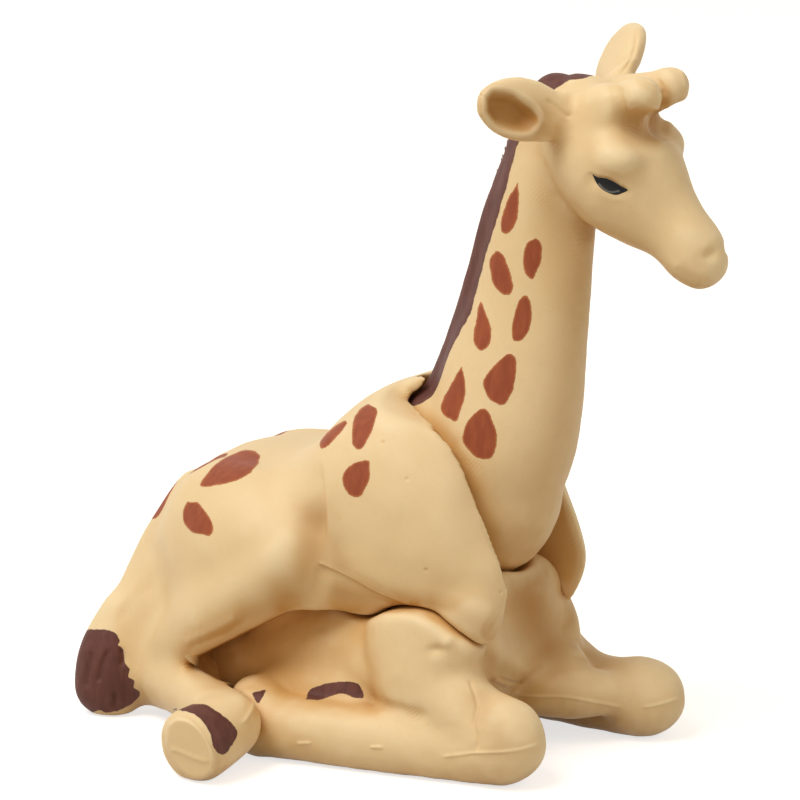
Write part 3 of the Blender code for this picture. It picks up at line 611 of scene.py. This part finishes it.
refine(leg_skin, [SHIN_LINE, *SHIN_DASHES, KNEE_GROOVE, FAR_SHIN_LINE, FAR_KNEE_LINE, *CRINKLES,
                  ELBOW_LINE], reach=7)
swell(leg_skin, BREAST_MIDDLE, size=(25, 30), height=-2.4)
iron(leg_skin, BREAST_SIDE, size=(16, 30), rounds=40)
iron(leg_skin, BREAST_TOP, size=(34, 40), rounds=60)
press(leg_skin, SHIN_CREASE, width=6, depth=0.30, taper=14)
press(leg_skin, SHIN_LINE, width=1.5, depth=-0.14)
for dash in SHIN_DASHES:
    press(leg_skin, dash, width=1.4, depth=-0.16, taper=3)
press(leg_skin, KNEE_GROOVE, width=2.0, depth=0.16)
press(leg_skin, FAR_SHIN_LINE, width=1.5, depth=-0.14)
press(leg_skin, FAR_KNEE_LINE, width=1.5, depth=-0.14)
for crinkle in CRINKLES:
    press(leg_skin, crinkle, width=1.8, depth=0.12, taper=4)
swell(leg_skin, ELBOW_HOLLOW, size=(8, 5), height=-0.35)
swell(leg_skin, ELBOW_KNOB, size=(6, 6), height=0.25)
roughen(leg_skin, scale=3.0, height=0.09)
roughen(leg_skin, scale=1.1, height=0.03)
print("lines carved on", leg_skin.name)

# %% [markdown]
# ## Carving the head
#
# The head carries the most detail: a heavy lid over a half-closed eye, a hollow between the
# brow and the horn, a soft nostril and the cups of the ears. The eye is pressed in under
# the lid.

# %% The face
EYE = [(592, 174), (598, 177), (605, 178), (613, 181), (621, 186), (628, 190), (623, 193),
       (617, 195), (611, 194), (603, 190), (597, 184)]
LID = [(586, 170), (592, 174), (598, 177), (605, 178), (613, 181), (621, 186), (628, 190),
       (634, 193)]
LOWER_LID = [(591, 181), (597, 189), (604, 195), (612, 199), (620, 199), (628, 195)]
BROW_HOLLOW = (641, 127)
BROW_DIP = (640, 131)
BROW_RIDGE = [(652, 104), (662, 112), (668, 124), (670, 138)]
LID_DOME = (612, 154)
LID_TOP = (620, 145)
NOSTRIL = (711, 254)
NOSTRIL_LINE = [(700, 258), (716, 250)]
MUZZLE_PUFF = (686, 236)
MOUTH = [(704, 283), (694, 279), (682, 273), (672, 264)]
HORN_CREASE = [(655, 77), (662, 87), (663, 98)]
HORN_RIM = [(644, 80), (652, 83), (658, 89), (660, 98), (657, 106)]
HORN_FOOT = [(620, 79), (616, 92), (620, 106), (630, 112)]
TEMPLE = (600, 108)
EYE_BALL = (610, 186)
EYE_GLINT = [(599, 184), (604, 189), (611, 192), (619, 191)]

refine(neck_skin, [LID, LOWER_LID, MOUTH, BROW_RIDGE, HORN_CREASE, HORN_RIM, EYE_GLINT,
                   NOSTRIL_LINE], reach=9, sides=SIDES)
refine(neck_skin, [LID, EYE_GLINT], reach=7, sides=SIDES)
swell(neck_skin, TEMPLE, size=(20, 26), height=0.80, sides=SIDES)
iron(neck_skin, TEMPLE, size=(18, 26), rounds=100, sides=SIDES)
swell(neck_skin, BROW_HOLLOW, size=(21, 14), height=-1.15, sides=SIDES, turn=30)
iron(neck_skin, BROW_HOLLOW, size=(20, 16), rounds=60, sides=SIDES)
iron(neck_skin, LID_TOP, size=(26, 18), rounds=40, sides=SIDES)
swell(neck_skin, BROW_DIP, size=(17, 12), height=-0.35, sides=SIDES, turn=30)
press(neck_skin, BROW_RIDGE, width=4, depth=-0.22, sides=SIDES)
swell(neck_skin, LID_DOME, size=(34, 17), height=0.16, sides=SIDES, turn=15)
swell(neck_skin, MUZZLE_PUFF, size=(15, 13), height=0.20, sides=SIDES)
swell(neck_skin, NOSTRIL, size=(7, 5), height=-0.35, sides=SIDES, turn=-35)
press(neck_skin, MOUTH, width=4.0, depth=0.06, sides=SIDES, taper=14)
step_up(neck_skin, LID, reach=9, height=-0.50, sides=SIDES, taper=14, edge=0.8)
swell(neck_skin, EYE_BALL, size=(13, 6), height=0.22, sides=SIDES, turn=22)
press(neck_skin, LOWER_LID, width=3.5, depth=-0.08, sides=SIDES, taper=12)
press(neck_skin, HORN_FOOT, width=8, depth=0.45, taper=12)
press(neck_skin, HORN_CREASE, width=2.5, depth=0.20)
press(neck_skin, HORN_RIM, width=1.4, depth=-0.12, sides=SIDES)

# %% The ears and the jaw
EAR_CUP = [(483, 96), (492, 87), (508, 88), (524, 95), (538, 107), (541, 122), (530, 135),
           (510, 136), (493, 129), (484, 114)]
EAR_FOLD = [(513, 94), (526, 101), (538, 111), (549, 124), (558, 134)]
EAR_LIP = [(544, 98), (554, 105), (563, 113), (568, 116), (574, 113)]
EAR_AXIS = [(470, 106), (500, 108), (530, 114), (556, 124)]
FAR_EAR_RIM = [(616, 78), (627, 66), (634, 50), (637, 30)]
JAW = [(541, 150), (545, 166), (550, 180), (558, 194), (570, 207), (582, 217), (594, 226)]

refine(neck_skin, [EAR_CUP + EAR_CUP[:1], EAR_FOLD, EAR_LIP, FAR_EAR_RIM, JAW], reach=6)
squeeze(neck_skin, EAR_AXIS, reach=40, share=0.10, sides=SIDES)
hollow_out(neck_skin, EAR_CUP, depth=1.6, blend=13)
press(neck_skin, EAR_CUP + EAR_CUP[:1], width=6, depth=-0.12, taper=0.1)
press(neck_skin, EAR_FOLD, width=5, depth=-0.14, taper=14)
press(neck_skin, EAR_LIP, width=2.4, depth=0.14)
press(neck_skin, FAR_EAR_RIM, width=1.8, depth=0.12)
press(neck_skin, JAW, width=5, depth=0.08, sides=SIDES, taper=24)
roughen(neck_skin, scale=3.0, height=0.05)
roughen(neck_skin, scale=0.9, height=0.02)
print("face and ears carved on", neck_skin.name)

# %% [markdown]
# ## Where the paint goes
#
# Each point keeps how far inside a painted patch it lies, in millimetres, as an attribute of
# its own. The material turns that distance into a ragged brushed edge, so the paint is
# sharper than the mesh. Patches that the picture shows are leaf shapes on its pixels.

# %% Paint distances
UNPAINTED = -9.0
BODY_SPOTS = (
    [(256, 451), (260, 456), (258, 464), (249, 474), (235, 481), (220, 485), (203, 487),
     (200, 483), (208, 472), (218, 462), (232, 454), (244, 450)],
    [(187, 502), (197, 502), (203, 508), (209, 517), (214, 527), (211, 536), (203, 535),
     (190, 531), (183, 521), (183, 511)],
    [(345, 420), (347, 424), (339, 434), (326, 447), (320, 448), (321, 440), (330, 430)],
    [(368, 404), (376, 408), (377, 415), (371, 433), (362, 449), (354, 446), (352, 438),
     (353, 422), (359, 410)],
    [(356, 462), (367, 460), (370, 466), (369, 480), (361, 496), (354, 497), (346, 491),
     (342, 478), (347, 468)],
)
# Spots that lie over the ridge of the rump: two ends and a radius, in millimetres.
RIDGE_SPOTS = (
    ((-28.0, 0.5, 20.8), (-27.7, 2.0, 22.7), 1.5),
    ((-21.5, -1.6, 26.5), (-21.4, 0.3, 26.8), 1.6),
)
NECK_SPOTS = (
    [(518, 181), (519, 200), (517, 220), (508, 233), (502, 231), (501, 222), (506, 204)],
    [(536, 238), (541, 244), (542, 255), (540, 264), (534, 278), (529, 278), (524, 270),
     (523, 255), (527, 243)],
    [(496, 250), (502, 254), (506, 260), (511, 275), (513, 288), (510, 295), (502, 294),
     (495, 287), (491, 276), (490, 260)],
    [(526, 295), (530, 301), (532, 316), (530, 328), (522, 340), (515, 341), (512, 336),
     (513, 320), (519, 300)],
    [(481, 300), (486, 313), (491, 328), (491, 340), (486, 349), (480, 351), (474, 343),
     (474, 333), (477, 313)],
    [(508, 353), (514, 356), (516, 364), (515, 382), (509, 399), (502, 405), (491, 400),
     (486, 393), (484, 379), (497, 362)],
    [(462, 366), (465, 380), (465, 396), (457, 420), (450, 419), (443, 414), (441, 405),
     (449, 388), (457, 373)],
    [(484, 408), (488, 412), (494, 424), (497, 436), (495, 451), (489, 459), (477, 457),
     (466, 447), (462, 437), (467, 422), (478, 411)],
)
# Pixels round a spot's first mark in which its points lie.
SPOT_REACH = 120
# How fast a spot thins out where the skin turns over the back, in millimetres.
RIDGE_FALL = 8
FAR_FALL = 25
FAR_TURN = 0.06
MOSTLY_FRONT = 0.5


def keep_zone(piece, name, values):
    layer = piece.data.attributes.get(name) or piece.data.attributes.new(name, "FLOAT", "POINT")
    layer.data.foreach_set("value", np.ascontiguousarray(values, np.float32))


def painted_depth(px, py, outlines):
    """How far inside the nearest of some outlines each point lies, in millimetres."""
    depth = np.full(len(px), UNPAINTED)
    for outline in outlines:
        curve = smooth_trail(outline + outline[:1], steps=4)
        close = (np.hypot(px - curve[0][0], py - curve[0][1]) < SPOT_REACH).nonzero()[0]
        depth[close] = np.maximum(depth[close], outline_depth(px[close], py[close], curve) * PIXEL)
    return depth


def both_flanks(piece, outlines):
    """The same marks on the flank that the camera sees and, mirrored, on the other one. Each
    thins out where the skin turns over the back, so that no patch ends in a straight cut."""
    mean = neighbour_mean(piece)
    turned = {}
    depths = {}
    for side in SIDES:
        px, py, _, facing, behind = sight(piece, side)
        front = (behind < LIMB * MM).astype(float)
        for _ in range(WIDE):
            facing, front = mean(facing), mean(front)
        turned[side] = facing
        hidden = RIDGE_FALL * np.maximum(MOSTLY_FRONT - front, 0)
        depths[side] = painted_depth(px, py, outlines) - hidden
    near = depths["near"] + RIDGE_FALL * np.minimum(turned["near"], 0)
    far = depths["far"] + RIDGE_FALL * np.minimum(turned["far"], 0)
    return np.maximum(near, far - FAR_FALL * np.maximum(turned["near"] + FAR_TURN, 0))


def ridge_depth(piece):
    """How far inside the nearest ridge spot, or its mirror image, each point lies."""
    points = points_of(piece) / MM
    depth = np.full(len(points), UNPAINTED)
    for start, end, radius in RIDGE_SPOTS:
        for side in (1, -1):
            a, b = np.array(start), np.array(end)
            a[1], b[1] = (MIDDLE / MM + side * (c[1] - MIDDLE / MM) for c in (a, b))
            t = np.clip((points - a) @ (b - a) / ((b - a) @ (b - a)), 0, 1)
            away = np.linalg.norm(points - a - t[:, None] * (b - a), axis=1)
            depth = np.maximum(depth, radius - away)
    return depth


body_spots = np.maximum(both_flanks(body_skin, BODY_SPOTS), ridge_depth(body_skin))
keep_zone(body_skin, "spot_mm", body_spots)
keep_zone(neck_skin, "spot_mm", both_flanks(neck_skin, NECK_SPOTS))
print(len(BODY_SPOTS) + len(RIDGE_SPOTS) + len(NECK_SPOTS), "spots on each flank")

# %% Mane, hoofs, tail and eyes
MANE_EDGE = [(620, 62), (588, 77), (571, 80), (558, 87), (547, 97), (532, 120), (520, 139),
             (514, 158), (507, 185), (500, 210), (492, 236), (484, 262), (474, 302), (466, 328),
             (459, 350), (451, 369), (439, 391), (428, 402), (415, 415)]
TUFT = [(60, 640), (88, 630), (104, 629), (114, 632), (120, 640), (118, 645), (124, 650),
        (125, 663), (130, 669), (128, 677), (135, 680), (134, 687), (140, 692), (137, 699),
        (125, 708), (107, 713), (96, 711), (60, 720)]
HOOF = [(168, 712), (182, 706), (196, 704), (207, 705), (220, 713), (230, 721), (237, 731),
        (235, 740), (226, 753), (219, 754), (213, 747), (210, 733), (200, 719), (185, 711)]
FAR_HOOF = [(306, 699), (310, 690), (323, 684), (345, 681), (358, 684), (364, 697), (356, 698),
            (343, 694), (330, 696), (318, 700)]
MANE_HALF = 3.2
TUFT_PAST_MIDDLE = 3 * MM
GLINT_HALF = 1.0
PAINT_PATCH = [(252, 693), (258, 691), (266, 690), (262, 698), (258, 704)]


def mane_zone(piece):
    edge = smooth_trail(MANE_EDGE)
    side_of = points_of(piece)[:, 1] - MIDDLE
    zones = {side: trail_distance(*sight(piece, side)[:2], edge) for side in SIDES}
    behind = np.where(side_of < 0, zones["near"], zones["far"]) * PIXEL
    return np.minimum(behind, MANE_HALF - np.abs(side_of) / MM)


keep_zone(neck_skin, "dark_mm", mane_zone(neck_skin))

px, py, shown, *_ = sight(body_skin)
beside_tail = points_of(body_skin)[:, 1] < MIDDLE + TUFT_PAST_MIDDLE
tuft = np.where(beside_tail, painted_depth(px, py, [TUFT]), UNPAINTED)
hoof = np.where(shown > 0, painted_depth(px, py, [HOOF]), UNPAINTED)
keep_zone(body_skin, "dark_mm", np.maximum(tuft, hoof))

px, py, shown, *_ = sight(leg_skin)
far_hoof = painted_depth(px, py, [FAR_HOOF, PAINT_PATCH])
keep_zone(leg_skin, "dark_mm", np.where(shown > 0, far_hoof, UNPAINTED))
keep_zone(neck_skin, "eye_mm", both_flanks(neck_skin, [EYE]))
# The painted reflection in the eye: how far inside a thin grey line each point lies, in
# millimetres.
glint = smooth_trail(EYE_GLINT)
glints = [np.abs(trail_distance(*sight(neck_skin, side)[:2], glint)) for side in SIDES]
keep_zone(neck_skin, "glint_mm", (GLINT_HALF - np.minimum(*glints)) * PIXEL)
print("mane, hoofs, tail and eyes marked")

# %% [markdown]
# ## Painted shade in soft brown strokes
#
# The figure is painted browner where the form turns under and lies in shade: below the thigh
# and the flaps, on the breast and in the ears. This painted shade is laid in a few soft strokes
# of brown. Each stroke is a trail with a reach and a strength, and fades out on both sides of
# its trail.

# %% The strokes of the painted shade
# A trail, a reach in pixels and a strength up to one.
SHADE_STROKES = {
    "skin_body": (
        ([(200, 650), (232, 636), (262, 616), (286, 596), (304, 574), (313, 548), (314, 520)],
         20, 0.62),
        ([(400, 606), (436, 606), (462, 614), (482, 628)], 17, 0.55),
        ([(440, 585), (480, 600)], 22, 0.22),
        ([(338, 590), (372, 598), (404, 606)], 10, 0.5),
        ([(330, 520), (332, 545), (340, 566)], 12, 0.35),
    ),
    "skin_legs": (
        ([(528, 590), (536, 620), (548, 646)], 26, 0.85),
        ([(572, 612), (566, 640), (600, 664)], 14, 0.45),
        ([(477, 700), (486, 722), (500, 740)], 15, 0.35),
        ([(478, 650), (500, 664), (520, 676)], 10, 0.55),
        ([(600, 722), (640, 728)], 12, 0.2),
    ),
    "skin_neck": (
        ([(498, 108), (514, 116), (530, 120)], 18, 1.0),
        ([(630, 124), (642, 130), (650, 133)], 13, 0.62),
        ([(560, 210), (575, 300), (570, 400), (550, 500), (530, 552)], 22, 0.25),
    ),
}


# Painted shade: how strongly the brown strokes darken each point.
def painted_shade_zone(piece):
    found = np.zeros(len(piece.data.vertices))
    for side in SIDES:
        px, py, shown, *_ = sight(piece, side, FINE)
        for trail, reach, strength in SHADE_STROKES[piece.name]:
            away = trail_distance(px, py, smooth_trail(trail))
            found = np.maximum(found, np.exp(-((away / reach) ** 2)) * shown * strength)
    return found


for piece in skins.values():
    keep_zone(piece, "painted_shade", painted_shade_zone(piece))
print("a thin brown wash laid low on", len(skins), "skins")

# %% [markdown]
# ## Painted shade in the hollows, and a painted highlight on the edges
#
# The creases, the hollows and the skin under the body are painted darker, as painted shade, and
# edges that stand out are painted paler, as a painted highlight. Rays from each point tell how
# much of its surroundings is shut off, once by the whole figure within 14 mm and once by its own
# skin within about 2 mm. How far a point stands out of the smoothed skin tells an edge. The three
# numbers are kept as attributes for the material.

# %% Edges that stand out
EDGE_ROUNDS = 12


# Edges that stand out are later painted paler, as a painted highlight.
def edge_zone(piece):
    """How far a point stands out of the smoothed skin round it, in millimetres."""
    mean = neighbour_mean(piece)
    points = points_of(piece)
    soft = points
    for _ in range(EDGE_ROUNDS):
        soft = mean(soft)
    return mean(np.einsum("ij,ij->i", points - soft, normals_of(piece))) / MM


# %% Places that light hardly reaches, which get painted shade
RAYS = 32
EVERY = 7
SPREAD_ROUNDS = 12
STEEPEST = 0.2
# Rays that run downwards count as half shut off, so the skin under the body gets more painted
# shade.
LOW_WAY = -0.3
LOW_SHARE = 0.5


def tree_of(objects):
    corners, faces = [], []
    for thing in objects:
        start = len(corners)
        corners += [v.co.copy() for v in thing.data.vertices]
        faces += [[start + i for i in face.vertices] for face in thing.data.polygons]
    return BVHTree.FromPolygons(corners, faces)


def shelter_zone(piece, tree, length, lift):
    """The share of the directions round each point that something near stands in."""
    turns = np.arange(RAYS) + 0.5
    height = 1 - 2 * turns / RAYS
    angle = turns * math.pi * (3 - math.sqrt(5))
    wide = np.sqrt(1 - height * height)
    ways = np.stack([wide * np.cos(angle), wide * np.sin(angle), height], axis=1)
    points, normals = points_of(piece), normals_of(piece)
    known = np.zeros(len(points))
    found = np.zeros(len(points))
    for i in range(0, len(points), EVERY):
        start = Vector(points[i] + normals[i] * lift)
        open_ways = ways[ways @ normals[i] > STEEPEST]
        blocked = 0
        for way in open_ways:
            if tree.ray_cast(start, Vector(way), length)[0] is not None:
                blocked += 1
            elif way[2] < LOW_WAY:
                blocked += LOW_SHARE
        found[i] = blocked / len(open_ways)
        known[i] = 1
    mean = neighbour_mean(piece)
    for _ in range(SPREAD_ROUNDS):
        found, known = mean(found), mean(known)
    return found / np.maximum(known, 1e-6)


ALL_SKINS = tree_of(skins.values())
# The painted highlight on edges, and the painted shade from the whole figure and in tight creases.
for piece in skins.values():
    keep_zone(piece, "edge_mm", edge_zone(piece))
    painted_shade_share = shelter_zone(piece, ALL_SKINS, length=14 * MM, lift=0.25 * MM)
    crease = shelter_zone(piece, tree_of([piece]), length=2.2 * MM, lift=0.05 * MM)
    keep_zone(piece, "painted_shade_share", painted_shade_share)
    keep_zone(piece, "crease", crease)
    for name in ("spot_mm", "dark_mm", "eye_mm", "glint_mm"):
        if piece.data.attributes.get(name) is None:
            keep_zone(piece, name, np.full(len(piece.data.vertices), UNPAINTED))
print("hollows measured")

# %% [markdown]
# ## The painted soft plastic
#
# One material serves every skin. The body colour is cream with a faint mottle. It is painted
# darker in the hollows, in the creases, under the body and along the strokes, as painted shade,
# and paler on edges that stand out, as a painted highlight. The paint is laid over it where a
# distance attribute is above nought, and noise shifts that edge to make it ragged, with a thin
# orange rim where the brush left less paint. The paint is as matte as the plastic, and the eye
# is glossy black with one thin grey line in it, a painted reflection. The pin isn't painted at
# all.

# %% The material
def painted_plastic(name):
    material = bpy.data.materials.new(name)
    material.use_nodes = True
    tree = material.node_tree
    nodes, links = tree.nodes, tree.links
    shader = nodes["Principled BSDF"]
    place = nodes.new("ShaderNodeTexCoord").outputs["Object"]

    def put(socket, value):
        if isinstance(value, bpy.types.NodeSocket):
            links.new(value, socket)
        else:
            socket.default_value = value

    def sum_of(kind, *values, clamp=False):
        made = nodes.new("ShaderNodeMath")
        made.operation = kind
        made.use_clamp = clamp
        for socket, value in zip(made.inputs, values):
            put(socket, value)
        return made.outputs[0]

    def clouds(scale, detail=3.0, stretch=None):
        made = nodes.new("ShaderNodeTexNoise")
        made.inputs["Scale"].default_value = scale
        made.inputs["Detail"].default_value = detail
        source = place
        if stretch is not None:
            mapping = nodes.new("ShaderNodeMapping")
            mapping.inputs["Scale"].default_value = stretch
            links.new(place, mapping.inputs["Vector"])
            source = mapping.outputs["Vector"]
        links.new(source, made.inputs["Vector"])
        return made.outputs["Fac"]

    def blended(amount, under, over):
        made = nodes.new("ShaderNodeMix")
        made.data_type = "RGBA"
        put(made.inputs[0], amount)
        put(made.inputs[6], under)
        put(made.inputs[7], over)
        return made.outputs[2]

    def zone(attribute):
        made = nodes.new("ShaderNodeAttribute")
        made.attribute_name = attribute
        return made.outputs["Fac"]

    def between(value, low, high):
        made = nodes.new("ShaderNodeMapRange")
        made.interpolation_type = "SMOOTHSTEP"
        put(made.inputs["Value"], value)
        made.inputs["From Min"].default_value = low
        made.inputs["From Max"].default_value = high
        return made.outputs["Result"]

    mottle = clouds(70, 4)
    grain = clouds(1800, 2)
    cream = blended(between(mottle, 0.3, 0.7), (0.80, 0.60, 0.335, 1), (0.84, 0.64, 0.375, 1))
    cream = blended(sum_of("MULTIPLY", between(grain, 0.5, 0.8), 0.06), cream,
                    (0.5, 0.34, 0.16, 1))
    # Painted shade: golden brown where the figure shuts off the light round a point or under the
    # body, and a darker brown in tight creases.
    cream = blended(sum_of("MULTIPLY", between(zone("painted_shade_share"), 0.10, 0.70), 0.85), cream,
                    (0.66, 0.365, 0.110, 1))
    cream = blended(sum_of("MULTIPLY", between(zone("crease"), 0.16, 0.60), 0.85), cream,
                    (0.42, 0.20, 0.055, 1))
    # Painted shade along the brown strokes.
    cream = blended(zone("painted_shade"), cream, (0.46, 0.225, 0.058, 1))
    # Painted highlight: edges that stand out are made paler.
    cream = blended(sum_of("MULTIPLY", between(zone("edge_mm"), 0.015, 0.10), 0.40),
                    cream, (0.92, 0.77, 0.50, 1))

    ragged = sum_of("MULTIPLY", sum_of("SUBTRACT", clouds(700, 3), 0.5), 0.32)
    ragged = sum_of("ADD", ragged,
                    sum_of("MULTIPLY", sum_of("SUBTRACT", clouds(3500, 2), 0.5), 0.14))
    streaks = clouds(1400, 3, (1, 1, 0.25))

    spot_depth = sum_of("ADD", zone("spot_mm"), ragged)
    spot = between(spot_depth, -0.03, 0.05)
    spot_heart = between(spot_depth, 0.03, 0.22)
    spot_red = blended(between(streaks, 0.35, 0.7), (0.275, 0.050, 0.017, 1),
                       (0.335, 0.070, 0.023, 1))
    spot_paint = blended(spot_heart, (0.46, 0.15, 0.05, 1), spot_red)

    dark_depth = sum_of("ADD", zone("dark_mm"), ragged)
    dark = between(dark_depth, -0.03, 0.05)
    dark_paint = blended(between(streaks, 0.35, 0.7), (0.110, 0.039, 0.031, 1),
                         (0.145, 0.054, 0.042, 1))
    eye = between(sum_of("ADD", zone("eye_mm"), sum_of("MULTIPLY", ragged, 0.12)), -0.02, 0.03)

    colour = blended(sum_of("MULTIPLY", spot, 0.97), cream, spot_paint)
    colour = blended(dark, colour, dark_paint)
    colour = blended(eye, colour, (0.006, 0.005, 0.005, 1))
    # A painted reflection: a thin grey line in the black of the eye.
    glint = sum_of("MULTIPLY", eye, between(zone("glint_mm"), -0.04, 0.09))
    colour = blended(glint, colour, (0.16, 0.16, 0.15, 1))
    links.new(colour, shader.inputs["Base Color"])

    painted = sum_of("MAXIMUM", spot, dark)
    rough = sum_of("ADD", 0.50, sum_of("MULTIPLY", sum_of("SUBTRACT", mottle, 0.5), 0.25))
    rough = sum_of("ADD", rough, sum_of("MULTIPLY", painted, 0.06))
    rough = sum_of("SUBTRACT", rough, sum_of("MULTIPLY", eye, 0.36))
    links.new(rough, shader.inputs["Roughness"])

    film = sum_of("MULTIPLY", painted, 0.03 * MM)
    skin_grain = sum_of("MULTIPLY", grain, 0.012 * MM)
    brush = sum_of("MULTIPLY", sum_of("MULTIPLY", streaks, painted), 0.02 * MM)
    relief = sum_of("ADD", film, sum_of("ADD", skin_grain, brush))
    bump = nodes.new("ShaderNodeBump")
    bump.inputs["Distance"].default_value = 1
    bump.inputs["Strength"].default_value = 1
    links.new(relief, bump.inputs["Height"])
    links.new(bump.outputs["Normal"], shader.inputs["Normal"])
    shader.inputs["Specular IOR Level"].default_value = 0.24
    shader.inputs["Subsurface Weight"].default_value = 0.10
    shader.inputs["Subsurface Radius"].default_value = (1.0, 0.5, 0.25)
    shader.inputs["Subsurface Scale"].default_value = 0.9 * MM
    return material


soft_plastic = painted_plastic("painted soft plastic")
for piece in skins.values():
    piece.data.materials.append(soft_plastic)
    take_up(piece)
    bpy.ops.object.shade_smooth()
print("painted", len(skins), "skins")

# %% The pin's plain plastic
white_plastic = bpy.data.materials.new("plain white plastic")
white_plastic.use_nodes = True
tree = white_plastic.node_tree
shader = tree.nodes["Principled BSDF"]
shader.inputs["Base Color"].default_value = (0.75, 0.75, 0.72, 1)
turning = tree.nodes.new("ShaderNodeTexNoise")
turning.inputs["Scale"].default_value = 900
sheen = tree.nodes.new("ShaderNodeMapRange")
sheen.inputs["To Min"].default_value = 0.35
sheen.inputs["To Max"].default_value = 0.50
tree.links.new(tree.nodes.new("ShaderNodeTexCoord").outputs["Object"], turning.inputs["Vector"])
tree.links.new(turning.outputs["Fac"], sheen.inputs["Value"])
tree.links.new(sheen.outputs["Result"], shader.inputs["Roughness"])
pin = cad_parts["neck_pin"]
pin.data.materials.clear()
pin.data.materials.append(white_plastic)
print("the pin is plain plastic")

# %% [markdown]
# ## The floor and the light
#
# The picture has a white ground with only a breath of shadow, and light that comes from all
# round, with more of it from the upper left. A large soft lamp does that, and the white world
# fills the rest. The floor adds its white to what the camera sees alone, so it doesn't light
# the toy from below more than a white table would.

# %% The floor, the world and the lamps
bpy.ops.object.select_all(action="DESELECT")
bpy.ops.mesh.primitive_plane_add(size=6, location=(0, 0, -0.02 * MM))
floor = bpy.context.object
floor.name = "floor"
ground = bpy.data.materials.new("white ground")
ground.use_nodes = True
tree = ground.node_tree
tree.nodes.remove(tree.nodes["Principled BSDF"])
matte = tree.nodes.new("ShaderNodeBsdfDiffuse")
matte.inputs["Color"].default_value = (0.64, 0.61, 0.56, 1)
glow = tree.nodes.new("ShaderNodeEmission")
both = tree.nodes.new("ShaderNodeAddShader")


def seen_or_mirrored(tree, low, high):
    """The low strength for light that falls on the toy, and the high one for what is seen."""
    path = tree.nodes.new("ShaderNodeLightPath")
    seen = path.outputs["Is Camera Ray"]
    for kind in ("Is Glossy Ray", "Is Transmission Ray"):
        either = tree.nodes.new("ShaderNodeMath")
        either.operation = "MAXIMUM"
        tree.links.new(seen, either.inputs[0])
        tree.links.new(path.outputs[kind], either.inputs[1])
        seen = either.outputs[0]
    level = tree.nodes.new("ShaderNodeMapRange")
    level.inputs["To Min"].default_value = low
    level.inputs["To Max"].default_value = high
    tree.links.new(seen, level.inputs["Value"])
    return level.outputs["Result"]


tree.links.new(seen_or_mirrored(tree, 0, 0.69), glow.inputs["Strength"])
tree.links.new(matte.outputs[0], both.inputs[0])
tree.links.new(glow.outputs[0], both.inputs[1])
tree.links.new(both.outputs[0], tree.nodes["Material Output"].inputs["Surface"])
floor.data.materials.append(ground)

world = bpy.data.worlds.new("white room")
bpy.context.scene.world = world
world.use_nodes = True
sky = world.node_tree.nodes["Background"]
warm = world.node_tree.nodes.new("ShaderNodeMix")
warm.data_type = "RGBA"
warm.inputs[6].default_value = (1, 0.89, 0.70, 1)
warm.inputs[7].default_value = (1, 1, 1, 1)
world.node_tree.links.new(seen_or_mirrored(world.node_tree, 0, 1), warm.inputs[0])
world.node_tree.links.new(warm.outputs[2], sky.inputs["Color"])
strength = seen_or_mirrored(world.node_tree, 0.45, 1.0)
world.node_tree.links.new(strength, sky.inputs["Strength"])


def lamp(name, direction, distance, size, power):
    light = bpy.data.lights.new(name, "AREA")
    light.shape = "DISK"
    light.size = size
    light.energy = power
    holder = bpy.data.objects.new(name, light)
    bpy.context.scene.collection.objects.link(holder)
    place = TARGET + direction.normalized() * distance
    aim = (TARGET - place).to_track_quat("-Z", "Y").to_matrix().to_4x4()
    holder.matrix_world = Matrix.Translation(place) @ aim


key_way = -RIGHT * 0.60 + UP * 1.00 - AHEAD * 0.68
fill_way = RIGHT * 0.9 + UP * 0.5 - AHEAD * 0.8
lamp("key_lamp", key_way, distance=0.7, size=0.42, power=3.35)
lamp("fill_lamp", fill_way, distance=0.8, size=0.5, power=0.50)
bpy.context.scene.view_settings.view_transform = "Standard"
print("floor, world and two lamps are set")
